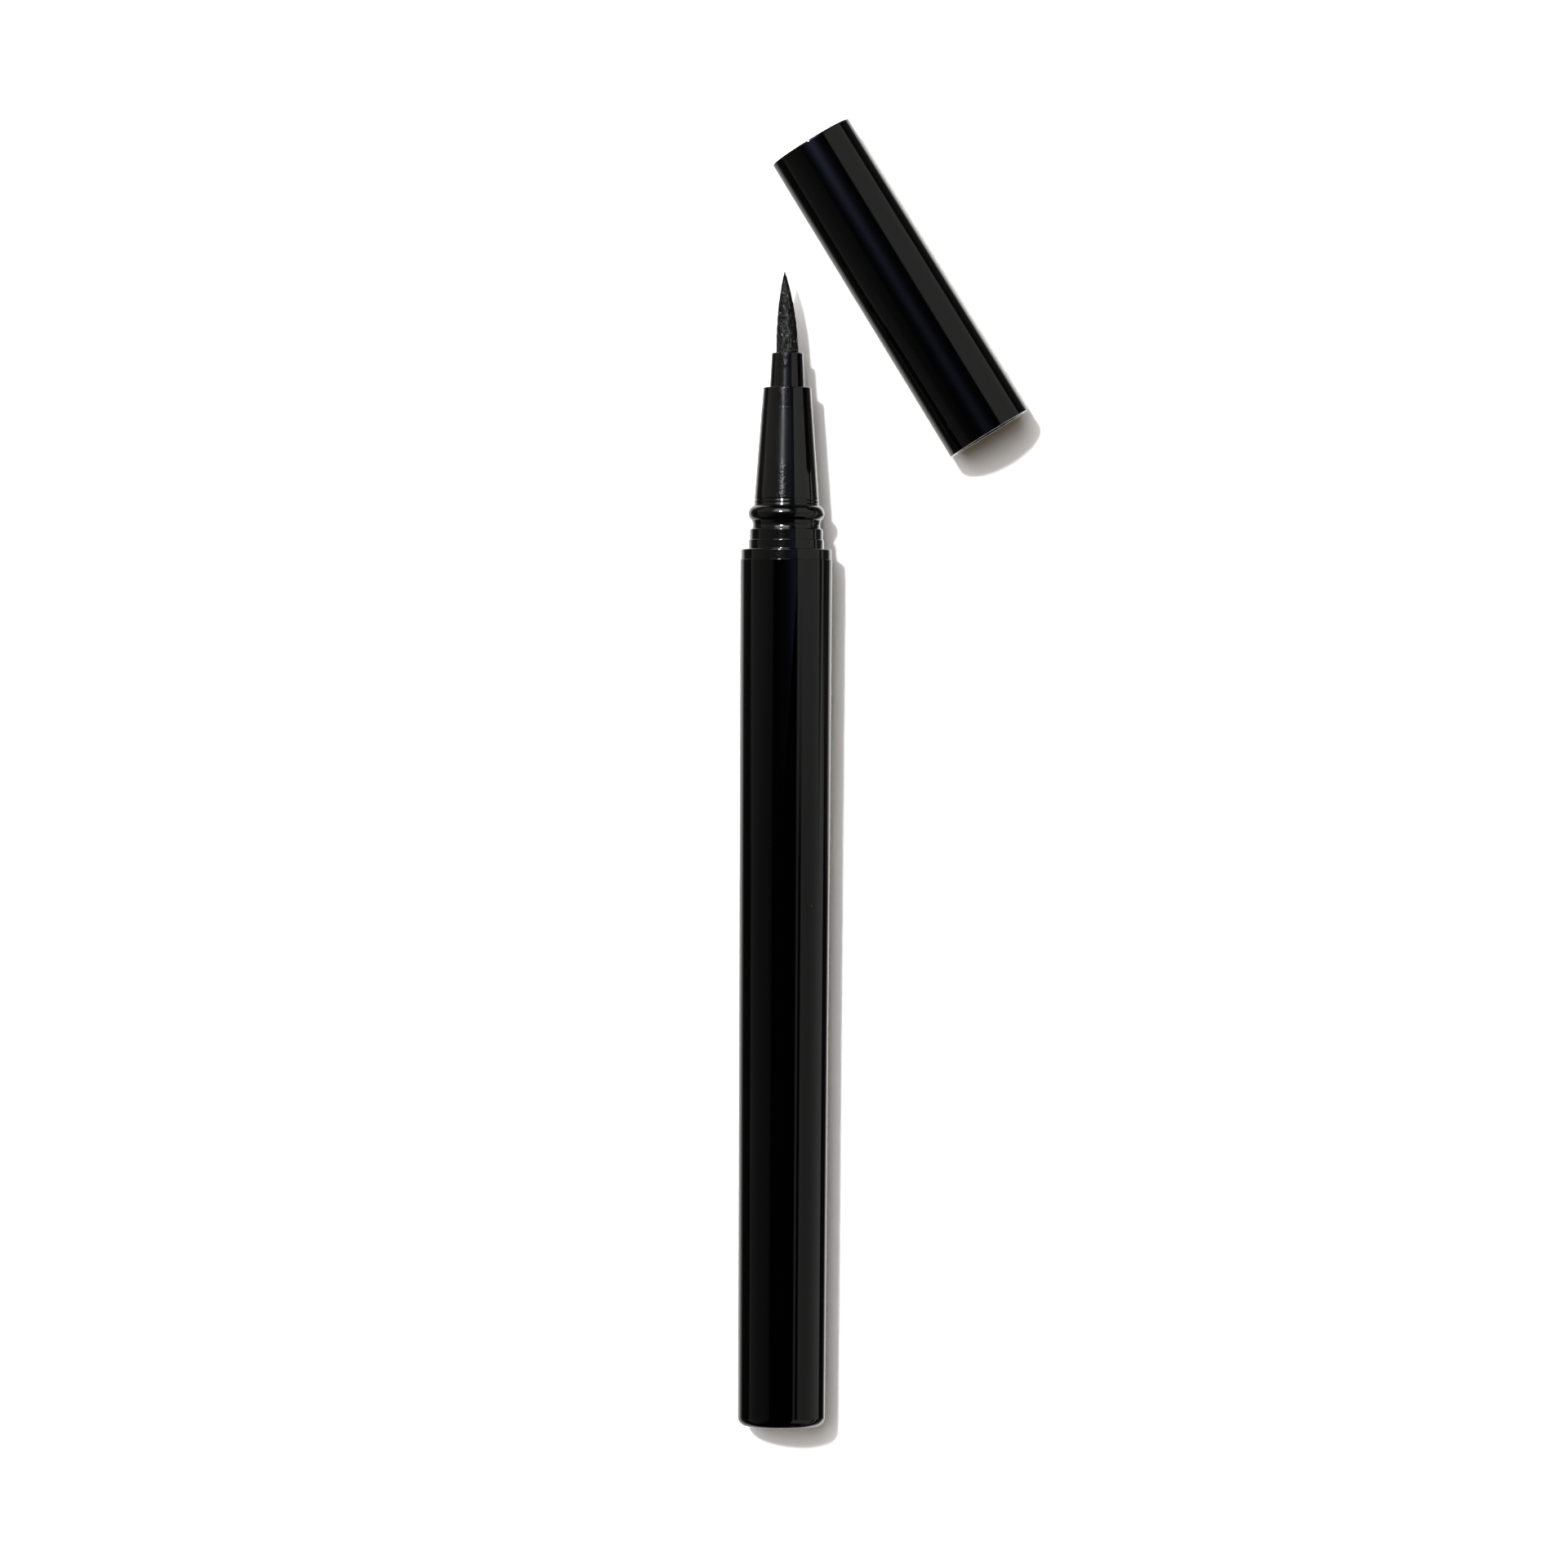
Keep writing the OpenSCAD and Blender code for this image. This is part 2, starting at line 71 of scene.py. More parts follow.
capStart = np.array(capMouth["pos_m"], float) / mm - capWay * (capLead + capMouth["dims"]["length_mm"] / 2)
print("stage: frame loaded")


# Camera: straight above the table with a long lens, as in the photograph
cameraView = {
    "x": -0.106,  # mm to the right of the pen's axis
    "y": 72.7,  # mm ahead of the tail
    "height": 925.0,  # mm above the pen's axis
    "lens": 187.5,  # mm
    "sensor": 36,  # mm
    "nearest": 0.01,  # m
    "turn": 0.331,  # degrees about the line of sight
}


# A camera at (x, y, height) that looks straight down, turned about its line of sight.
def makeCamera():
    lens = bpy.data.cameras.new("camera")
    lens.lens = cameraView["lens"]
    lens.sensor_width = cameraView["sensor"]
    lens.clip_start = cameraView["nearest"]
    eye = bpy.data.objects.new("camera", lens)
    eye.location = (cameraView["x"] * mm, cameraView["y"] * mm, cameraView["height"] * mm)
    eye.rotation_euler = (0, 0, math.radians(cameraView["turn"]))
    bpy.context.collection.objects.link(eye)
    bpy.context.scene.camera = eye


# Light: one small hard lamp in the middle of a broad soft one, an even fill, and a lamp and cards that only
# gloss shows
lighting = {
    # direction towards the lamp, strength, degrees across
    "hardLamp": ((-0.248, 0.291, 0.924), 1.35, 2.6),
    "softLamp": ((-0.248, 0.291, 0.924), 1.75, 44.0),
    "glossLamp": ((-0.290, 0.290, 0.912), 5.0, 6.5),
    "fill": 0.08,  # even light on everything that isn't gloss
    "fillColor": (1.0, 0.78, 0.55),
    "floor": 0.93,
    "floorSeen": 1.45,  # the floor's colour where the camera looks straight at it, whiter than white
    "floorSize": 6.0,  # m
}

# Brightness of the surroundings by their angle from straight up, towards the cap (+) or away from it (-), as the
# pen's front half and as its tail show them
cards = [
    (-180, 1.10), (-150, 1.05), (-141, 0.80), (-135, 0.28), (-130, 0.05), (-101, 0.03),
    (-98, 0.30), (-88, 0.19), (-60, 0.147), (-37, 0.10), (-33, 0.07), (-30, 0.0),
    (28.0, 0.0), (30.5, 0.50), (60, 0.45), (82, 0.43), (92, 0.52), (95, 0.03),
    (101, 0.03), (136, 0.08), (143, 0.9), (155, 1.4), (180, 1.1),
]
tailCards = [
    (-180, 1.10), (-150, 1.05), (-145, 0.90), (-140, 0.55), (-134, 0.20), (-128, 0.02), (-97, 0.02),
    (-94, 0.20), (-84, 0.14), (-67, 0.10), (-39, 0.074), (-34, 0.05), (-31, 0.0),
    (29, 0.0), (31, 0.28), (35, 0.28), (36.5, 0.0), (41, 0.0), (44, 0.36), (53, 0.31), (68, 0.30), (80, 0.33),
    (92, 0.42), (102, 0.47), (116, 0.47), (119, 0.02), (143, 0.02), (149, 0.4), (156, 0.9), (165, 1.2), (180, 1.1),
]
cardTint = (1.0, 0.985, 0.97)
# The right cards lie further round where the view leans forward more than the nose makes it: lean, degrees
cardShift = [(0.33, 0.0), (0.5, 7.0)]
# Share of the tail's cards by lean backward (-) or forward (+) along the pen
tailShare = [(-0.20, 0.0), (-0.12, 1.0), (-0.015, 1.0), (0.020, 0.0)]
# A narrow card low on the right, seen by the pen and not by the cap
lineCard = {
    "marks": [(0, 0.0), (101, 0.0), (103, 0.65), (107, 0.65), (110, 0.0)],
    "lean": (0.4, 0.2),  # forward lean for none and all of it
}
# How bright all cards are by forward lean: the studio is dark straight behind and straight ahead
darkEnds = [(-1.0, 0.0), (-0.8, 0.0), (-0.65, 1.0), (0.78, 1.0), (0.92, 0.0), (1.0, 0.0)]
# How bright the left cards are by how far the view leans along the cap, and how bright their inner part is
leftFade = [(0.0, 0.7), (0.0235, 0.75), (0.06, 0.68), (0.10, 0.78), (0.2, 1.0)]
innerFade = [(0.0, 0.0), (0.02, 0.0), (0.06, 1.0), (1.0, 1.0)]
innerPart = (-64, -36)  # degrees from straight up: how far in the outer part reaches and the inner part starts
leftSide = (0.0, -0.05)  # sideways lean at which the left cards' fade starts and is whole
# A wash that only surfaces leaning forward show, as the nose does: angle as for the cards, brightness, warm share
noseWash = {
    "warm": (1.0, 0.93, 0.86),
    "cold": (0.62, 0.74, 1.0),
    "marks": [(-180, 0.0, 1), (-112, 0.0, 1), (-100, 0.75, 1), (-40, 0.65, 1), (-32, 0.75, 0), (-14, 0.7, 0),
              (-6, 0.1, 1), (4, 0.0, 1), (27, 0.0, 1), (30, 0.5, 1), (80, 0.45, 1), (94, 0.0, 1), (180, 0.0, 1)],
    "strength": 0.17,
    "lean": (0.06, 0.14),  # forward lean for none and all of it
    "capLean": 0.03,  # lean along the cap at which it is left out, so that the cap doesn't show it
    "capWidth": (0.03, 0.08),
}
# A dim bar beside the lamp that only strongly curved edges reach: its brightness by angle, and by forward lean
dimBar = {
    "across": [(-180, 0.0), (-46, 0.0), (-36, 1.0), (2, 1.0), (14, 0.0), (180, 0.0)],
    "along": [(0.0, 0.0), (0.26, 0.0), (0.34, 1.0), (0.60, 1.0), (0.85, 0.0)],
    "strength": 3.5,
}
# A bluish card close over the cap, which only gloss shows: its light fades to both sides and towards the mouth
blueCard = {
    "color": (0.55, 0.62, 1.0),
    "height": 70.0,  # mm above the cap's axis
    "middle": -4.0,  # mm across from the cap's axis
    "width": 15.0,  # mm across to where the streak has faded to a third
    "wideWidth": 38.0,  # the same for the glow round it
    "wideShare": 0.26,
    "reach": 1.2,  # half the card's own width over that of the glow
    "start": -20.0,  # mm along from the mouth
    "end": 150.0,
    "bright": 44.0,  # mm along where it is full
    "least": 0.34,  # share of the light at the mouth
    "power": 3.0,
    "strength": 0.47,
}


mixLow, mixHigh, mixResult = 6, 7, 2  # the two colour inputs of a Mix node, and its colour output


# A shader node with its settings, and values or links for its inputs by name or number.
def addNode(tree, kind, inputs=None, **settings):
    made = tree.nodes.new(kind)
    for key, value in settings.items():
        setattr(made, key, value)
    for key, value in (inputs or {}).items():
        socket = made.inputs[key]
        if isinstance(value, bpy.types.NodeSocket):
            tree.links.new(value, socket)
        else:
            socket.default_value = value
    return made


# Value from low..high to newLow..newHigh, held at both ends.
def rescale(tree, value, low, high, newLow, newHigh):
    mapped = addNode(tree, "ShaderNodeMapRange", {"Value": value, "From Min": low, "From Max": high,
                                                  "To Min": newLow, "To Max": newHigh})
    return mapped.outputs[0]


# Colour of the marks (place, colour) as share goes from 0 to 1.
def addRamp(tree, share, marks):
    ramp = addNode(tree, "ShaderNodeValToRGB", {"Fac": share})
    stops = ramp.color_ramp.elements
    while len(stops) > 1:
        stops.remove(stops[-1])
    for number, (where, color) in enumerate(marks):
        stop = stops[0] if number == 0 else stops.new(where)
        stop.position = where
        stop.color = (*color, 1)
    return ramp.outputs[0]


# Places and brightnesses as marks for addRamp from low to high: share = (place - low) / (high - low).
def greyMarks(marks, low=0.0, high=1.0, tint=(1.0, 1.0, 1.0)):
    return [((place - low) / (high - low), tuple(bright * part for part in tint)) for place, bright in marks]


# A distant lamp that shines from (x, y, z): tilt = acos(z / length), heading = atan2(y, x).
def makeLamp(name):
    (x, y, z), strength, spread = lighting[name]
    sun = bpy.data.lights.new(name, "SUN")
    sun.energy = strength
    sun.angle = math.radians(spread)
    lamp = bpy.data.objects.new(name, sun)
    lamp.rotation_euler = (0, math.acos(z / math.hypot(x, y, z)), math.atan2(y, x))
    bpy.context.collection.objects.link(lamp)
    return lamp


# The surroundings. Roll = atan2(X, Z) picks the place on the cards, and Y and the way along the cap say which
# cards: light = cut * (cards * fade + strength * wash) + line + bar for gloss, white for the camera, else fill.
def makeWorld():
    world = bpy.data.worlds.new("studio")
    bpy.context.scene.world = world
    world.use_nodes = True
    tree = world.node_tree
    tree.nodes.clear()
    look = addNode(tree, "ShaderNodeTexCoord")
    xyz = addNode(tree, "ShaderNodeSeparateXYZ", {0: look.outputs["Generated"]})
    forward = xyz.outputs["Y"]
    # angle from straight up in the plane across the pen, as a share of a full turn
    roll = addNode(tree, "ShaderNodeMath", {0: xyz.outputs["X"], 1: xyz.outputs["Z"]}, operation="ARCTAN2")
    turn = rescale(tree, roll.outputs[0], -math.pi, math.pi, 0.0, 1.0)

    def byAngle(share, marks, tint=(1.0, 1.0, 1.0)):
        return addRamp(tree, share, greyMarks(marks, -180, 180, tint))

    # the cards: those that the front half shows and those that the tail shows
    (leanLow, shiftLow), (leanHigh, shiftHigh) = cardShift
    shift = rescale(tree, forward, leanLow, leanHigh, shiftLow / 360, shiftHigh / 360)
    moved = addNode(tree, "ShaderNodeMath", {0: turn, 1: shift}, operation="SUBTRACT")
    front, tail = [byAngle(moved.outputs[0], marks, cardTint) for marks in (cards, tailCards)]
    low, high = tailShare[0][0], tailShare[-1][0]
    share = addRamp(tree, rescale(tree, forward, low, high, 0.0, 1.0), greyMarks(tailShare, low, high))
    both = addNode(tree, "ShaderNodeMix", {0: share, mixLow: front, mixHigh: tail}, data_type="RGBA")
    around = both.outputs[mixResult]

    # how much of the left cards is left at this lean along the cap
    way = addNode(tree, "ShaderNodeVectorMath", {0: look.outputs["Generated"], 1: tuple(capWay)},
                  operation="DOT_PRODUCT")
    fade = addRamp(tree, way.outputs["Value"], greyMarks(leftFade))
    left = rescale(tree, xyz.outputs["X"], *leftSide, 0.0, 1.0)
    dimmed = addNode(tree, "ShaderNodeMix", data_type="RGBA", blend_type="MULTIPLY")
    inside = rescale(tree, turn, *((angle + 180) / 360 for angle in innerPart), 1.0, 0.0)
    whole = addRamp(tree, way.outputs["Value"], greyMarks(innerFade))
    kept = addNode(tree, "ShaderNodeMath", {0: inside, 1: whole}, operation="MAXIMUM")
    faded = addNode(tree, "ShaderNodeMath", {0: kept.outputs[0], 1: fade}, operation="MULTIPLY")
    for number, socket in ((0, left), (mixLow, around), (mixHigh, faded.outputs[0])):
        tree.links.new(socket, dimmed.inputs[number])
    cut = addRamp(tree, rescale(tree, forward, -1.0, 1.0, 0.0, 1.0), greyMarks(darkEnds, -1, 1))
    studio = addNode(tree, "ShaderNodeBackground", {"Color": dimmed.outputs[mixResult], "Strength": cut})

    # the wash on the nose
    w = noseWash
    wash = addRamp(tree, turn, [((angle + 180) / 360, tuple(b * c for c in (w["warm"] if warm else w["cold"])))
                                for angle, b, warm in w["marks"]])
    washLight = addNode(tree, "ShaderNodeMath", {0: cut, 1: w["strength"]}, operation="MULTIPLY")
    ahead = addNode(tree, "ShaderNodeMath", {0: rescale(tree, forward, *w["lean"], 0.0, 1.0),
                                             1: washLight.outputs[0]}, operation="MULTIPLY")
    off = addNode(tree, "ShaderNodeMath", {0: way.outputs["Value"], 1: w["capLean"]}, operation="SUBTRACT")
    away = addNode(tree, "ShaderNodeMath", {0: off.outputs[0]}, operation="ABSOLUTE")
    clear = rescale(tree, away.outputs[0], *w["capWidth"], 0.0, 1.0)
    amount = addNode(tree, "ShaderNodeMath", {0: ahead.outputs[0], 1: clear}, operation="MULTIPLY")
    washed = addNode(tree, "ShaderNodeBackground", {"Color": wash, "Strength": amount.outputs[0]})

    # the narrow card and the dim bar
    upright = rescale(tree, forward, *lineCard["lean"], 0.0, 1.0)
    frontShare = addNode(tree, "ShaderNodeMath", {0: 1.0, 1: share}, operation="SUBTRACT")
    narrow = addNode(tree, "ShaderNodeMath", {0: upright, 1: frontShare.outputs[0]}, operation="MULTIPLY")
    lined = addNode(tree, "ShaderNodeBackground", {"Color": byAngle(turn, lineCard["marks"]),
                                                   "Strength": narrow.outputs[0]})
    along = addRamp(tree, forward, greyMarks(dimBar["along"], tint=(dimBar["strength"],) * 3))
    bar = addNode(tree, "ShaderNodeBackground", {"Color": byAngle(turn, dimBar["across"]), "Strength": along})

    gloss = studio
    for extra in (washed, lined, bar):
        gloss = addNode(tree, "ShaderNodeAddShader", {0: gloss.outputs[0], 1: extra.outputs[0]})
    fill = addNode(tree, "ShaderNodeBackground", {"Color": (*lighting["fillColor"], 1),
                                                  "Strength": lighting["fill"]})
    white = addNode(tree, "ShaderNodeBackground", {"Color": (1, 1, 1, 1)})
    ray = addNode(tree, "ShaderNodeLightPath")
    seen = addNode(tree, "ShaderNodeMath", {0: ray.outputs["Is Camera Ray"], 1: ray.outputs["Is Transmission Ray"]},
                   operation="MAXIMUM")
    lit = addNode(tree, "ShaderNodeMixShader", {0: ray.outputs["Is Glossy Ray"], 1: fill.outputs[0],
                                                2: gloss.outputs[0]})
    shown = addNode(tree, "ShaderNodeMixShader", {0: seen.outputs[0], 1: lit.outputs[0], 2: white.outputs[0]})
    addNode(tree, "ShaderNodeOutputWorld", {"Surface": shown.outputs[0]})


# A square sheet under the lowest point. Its colour = floor, or floorSeen where the camera looks straight at it.
def makeFloor():
    half = lighting["floorSize"] / 2
    level = cadLow.z
    middle = (cadLow + cadHigh) / 2
    corners = [(middle.x + x * half, middle.y + y * half, level) for x, y in ((-1, -1), (1, -1), (1, 1), (-1, 1))]
    sheet = bpy.data.meshes.new("floor")
    sheet.from_pydata(corners, [], [(0, 1, 2, 3)])
    floor = bpy.data.objects.new("floor", sheet)
    bpy.context.collection.objects.link(floor)
    paper = bpy.data.materials.new("floorPaper")
    paper.use_nodes = True
    tree = paper.node_tree
    tree.nodes.clear()
    ray = addNode(tree, "ShaderNodeLightPath")
    white = addNode(tree, "ShaderNodeMapRange", {"Value": ray.outputs["Is Camera Ray"], "To Min": lighting["floor"],
                                                 "To Max": lighting["floorSeen"]}, clamp=False)
    matt = addNode(tree, "ShaderNodeBsdfDiffuse", {"Color": white.outputs[0]})
    addNode(tree, "ShaderNodeOutputMaterial", {"Surface": matt.outputs[0]})
    sheet.materials.append(paper)
    floor.visible_glossy = False  # gloss shows the studio's own pale lower half instead


# Light = strength * along * (exp(-(x / width)^2) + wideShare * exp(-(x / wideWidth)^2)), x across the card, with
# along = least + (1 - least) * (y / bright)^power, y along it from the mouth.
def makeBlueCard():
    s = blueCard
    half = s["reach"] * s["wideWidth"] * mm
    ends = (s["start"] * mm, s["end"] * mm)
    sheet = bpy.data.meshes.new("blueCard")
    sheet.from_pydata([(-half, ends[0], 0), (half, ends[0], 0), (half, ends[1], 0), (-half, ends[1], 0)], [],
                      [(0, 1, 2, 3)])
    card = bpy.data.objects.new("blueCard", sheet)
    card.location = (capStart + capSide * s["middle"] + capTop * s["height"]) * mm
    card.rotation_euler = (0, 0, math.atan2(capSide[1], capSide[0]))
    bpy.context.collection.objects.link(card)
    paint = bpy.data.materials.new("blueCard")
    paint.use_nodes = True
    tree = paint.node_tree
    tree.nodes.clear()
    place = addNode(tree, "ShaderNodeTexCoord").outputs["Object"]
    xyz = addNode(tree, "ShaderNodeSeparateXYZ", {0: place})
    share = rescale(tree, xyz.outputs["Y"], 0.0, s["bright"] * mm, 0.0, 1.0)
    raised = addNode(tree, "ShaderNodeMath", {0: share, 1: s["power"]}, operation="POWER")
    along = rescale(tree, raised.outputs[0], 0.0, 1.0, s["least"], 1.0)

    def fall(width):
        part = addNode(tree, "ShaderNodeMath", {0: xyz.outputs["X"], 1: width * mm}, operation="DIVIDE")
        square = addNode(tree, "ShaderNodeMath", {0: part.outputs[0], 1: part.outputs[0]}, operation="MULTIPLY")
        return addNode(tree, "ShaderNodeMath", {0: math.exp(-1), 1: square.outputs[0]}, operation="POWER").outputs[0]

    glow = addNode(tree, "ShaderNodeMath", {0: fall(s["wideWidth"]), 1: s["wideShare"], 2: fall(s["width"])},
                   operation="MULTIPLY_ADD")
    bright = addNode(tree, "ShaderNodeMath", {0: along, 1: glow.outputs[0]}, operation="MULTIPLY")
    scaled = addNode(tree, "ShaderNodeMath", {0: bright.outputs[0], 1: s["strength"]}, operation="MULTIPLY")
    light = addNode(tree, "ShaderNodeEmission", {"Color": (*s["color"], 1), "Strength": scaled.outputs[0]})
    clear = addNode(tree, "ShaderNodeBsdfTransparent")
    both = addNode(tree, "ShaderNodeAddShader", {0: light.outputs[0], 1: clear.outputs[0]})
    addNode(tree, "ShaderNodeOutputMaterial", {"Surface": both.outputs[0]})
    sheet.materials.append(paint)
    card.visible_camera = False
    card.visible_diffuse = False
    card.visible_shadow = False
    card.visible_transmission = False


makeCamera()
makeLamp("hardLamp").visible_glossy = False
makeLamp("softLamp").visible_glossy = False
makeLamp("glossLamp").visible_diffuse = False
makeWorld()
makeFloor()
makeBlueCard()
bpy.context.scene.view_settings.view_transform = "Standard"
print("stage: camera, lamp, world and floor made")


# Surfaces turned about an axis
turning = {
    "segments": 192,  # steps round the axis
    "margin": 0.02,  # mm from a corner to the line that holds its shading
    "leastMargins": 4,  # a stretch longer than this many margins gets its two points
    "tiny": 1e-9,  # mm
}


# Profile points (radius, distance along the axis) that straight lines join.
def straight(*points):
    return np.array(points, float)


# Points at equal angles on a circle: centre + radius * (cos, sin), from start to end in degrees.
def arc(centre, radius, start, end, steps=8):
    angle = np.radians(np.linspace(start, end, steps + 1))
    return np.stack([centre[0] + radius * np.cos(angle), centre[1] + radius * np.sin(angle)], axis=1)


# Each long stretch gets a point a small margin inside both ends: p + margin * (q - p) / |q - p|.
def withMargins(profile, closed):
    start = profile
    end = np.roll(profile, -1, axis=0)
    if not closed:
        start, end = start[:-1], end[:-1]
    length = np.linalg.norm(end - start, axis=1, keepdims=True)
    step = (end - start) / np.maximum(length, turning["tiny"]) * turning["margin"]
    long = length[:, 0] > turning["leastMargins"] * turning["margin"]
    rows = np.stack([start, start + step, end - step], axis=1)
    keep = np.stack([np.ones_like(long), long, long], axis=1)
    points = rows[keep]
    return points if closed else np.vstack([points, profile[-1:]])


# A smooth closed mesh from points and faces, turned outward: its signed volume is the sum of a.(b x c)/6.
def meshFromGrid(name, points, faces):
    corners = [np.asarray(f) for f in faces if len(f)]
    volume = 0.0
    for block in corners:
        for k in range(1, block.shape[1] - 1):
            a, b, c = points[block[:, 0]], points[block[:, k]], points[block[:, k + 1]]
            volume += np.einsum("ij,ij->", a, np.cross(b, c)) / 6
    if volume < 0:
        corners = [block[:, ::-1] for block in corners]
    used, order = np.unique(np.concatenate([block.ravel() for block in corners]), return_inverse=True)
    counts = [block.size for block in corners]
    renumbered = np.split(order, np.cumsum(counts)[:-1])
    loops = [block.reshape(-1, old.shape[1]).tolist() for block, old in zip(renumbered, corners)]
    mesh = bpy.data.meshes.new(name)
    mesh.from_pydata((points[used] * mm).tolist(), [], sum(loops, []))
    mesh.polygons.foreach_set("use_smooth", np.ones(len(mesh.polygons), bool))
    mesh.update()
    made = bpy.data.objects.new(name, mesh)
    bpy.context.collection.objects.link(made)
    return made


# A profile turned about an axis: point = place(radius * cos a, radius * sin a, along), for a from 0 to a full
# turn. An open profile starts and ends on the axis, where its ring of points is one pole.
def lathe(name, profile, closed, place):
    profile = withMargins(profile, closed)
    turns = turning["segments"]
    angle = np.linspace(0, 2 * np.pi, turns, endpoint=False)[:, None]
    radius, along = profile[:, 0][None, :], profile[:, 1][None, :]
    points = place(radius * np.cos(angle), radius * np.sin(angle), along + 0 * angle).reshape(-1, 3)
    count = len(profile)
    index = np.arange(turns * count).reshape(turns, count)
    if not closed:
        index[:, 0] = index[0, 0]
        index[:, -1] = index[0, -1]
    ahead = np.roll(index, -1, axis=0)
    nextIndex, nextAhead = np.roll(index, -1, axis=1), np.roll(ahead, -1, axis=1)
    quads = np.stack([index, ahead, nextAhead, nextIndex], axis=2)
    if closed:
        return meshFromGrid(name, points, [quads.reshape(-1, 4)])
    first = quads[:, 0][:, [0, 2, 3]]
    last = quads[:, count - 2][:, [0, 1, 2]]
    return meshFromGrid(name, points, [quads[:, 1:count - 2].reshape(-1, 4), first, last])


# Across, up and along, for a piece on the pen's own axis.
def onPen(x, z, y):
    return np.stack([x, y, z], axis=-1)


# Across, up and along the cap's axis, counted from its mouth.
def onCap(x, z, y):
    return capStart + x[..., None] * capSide + z[..., None] * capTop + y[..., None] * capWay


# Barrel
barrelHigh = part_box("barrel")[1]
barrelShape = {
    "length": barrelHigh.y / mm,
    "frontRadius": barrelHigh.x / mm,
    "tailRadius": 4.92,
    "tailRound": 1.05,
    "frontRound": 0.06,
    "skirtBore": 4.25,
    "tankBore": 3.83,
    "tankDepth": 79.0,
    "tailWall": 1.6,
    "tailSteps": 20,
    "frontSteps": 6,
}


# The barrel's profile: round tail, straight taper, fine round at the front, then the stepped bore back to the tail.
def makeBarrel():
    s = barrelShape
    profile = np.vstack([
        straight((0, 0)),
        arc((s["tailRadius"] - s["tailRound"], s["tailRound"]), s["tailRound"], -90, 0, s["tailSteps"]),
        arc((s["frontRadius"] - s["frontRound"], s["length"] - s["frontRound"]), s["frontRound"], 0, 90,
            s["frontSteps"]),
        straight((s["skirtBore"], s["length"]), (s["skirtBore"], s["tankDepth"]),
                 (s["tankBore"], s["tankDepth"]), (s["tankBore"], s["tailWall"]), (0, s["tailWall"])),
    ])
    barrel = lathe("barrelShell", profile, False, onPen)
    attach(barrel, "pen")
    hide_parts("barrel")
    return barrel


# Front section
frontLow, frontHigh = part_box("front_section")
frontShape = {
    "skirtStart": frontLow.y / mm,
    "skirtRadius": 4.22,
    "ringRadius": frontHigh.x / mm,
    "ringLength": 1.15,
    "stepA": (4.245, 1.11),  # radius and length
    "stepB": (4.135, 1.21),
    "neck": (3.89, 0.92),
    "neckDip": 0.09,  # hollow of the neck between the step and the bead
    "beadRadius": 4.3,
    "beadRound": 0.95,
    "beadLength": 1.67,
    "beadSteps": 24,
    "coneBase": 3.7,
    "coneFront": 2.71,
    "coneLength": 13.44,
    "grooves": (0.16, 0.56),  # two fine grooves round the foot of the cone, ahead of the bead
    "grooveWidth": 0.34,
    "grooveDepth": 0.04,
    "hollowSteps": 12,
    "edge": 0.12,
    "fineEdge": 0.09,
    "foot": 0.1,  # round in the corner at the foot of each step
    "witnessBehind": 2.3,  # fine line left by the mould, behind the nose's front
    "witnessDepth": 0.02,
    "witnessLength": 0.02,
    "chamber": 3.09,
    "bay": 2.48,
    "noseBore": 1.995,
    "noseBoreLength": 7.1,
}


# Quarter circle from the side of a step to its front face, its centre one edge in from both.
def roundedCorner(radius, along, edge, steps=6):
    return arc((radius - edge, along - edge), edge, 0, 90, steps)


# Hollow quarter circle from the front face of the piece behind to the side of a step, its centre one round out
# and ahead.
def hollowCorner(radius, along, round, steps=6):
    return arc((radius + round, along + round), round, -90, -180, steps)


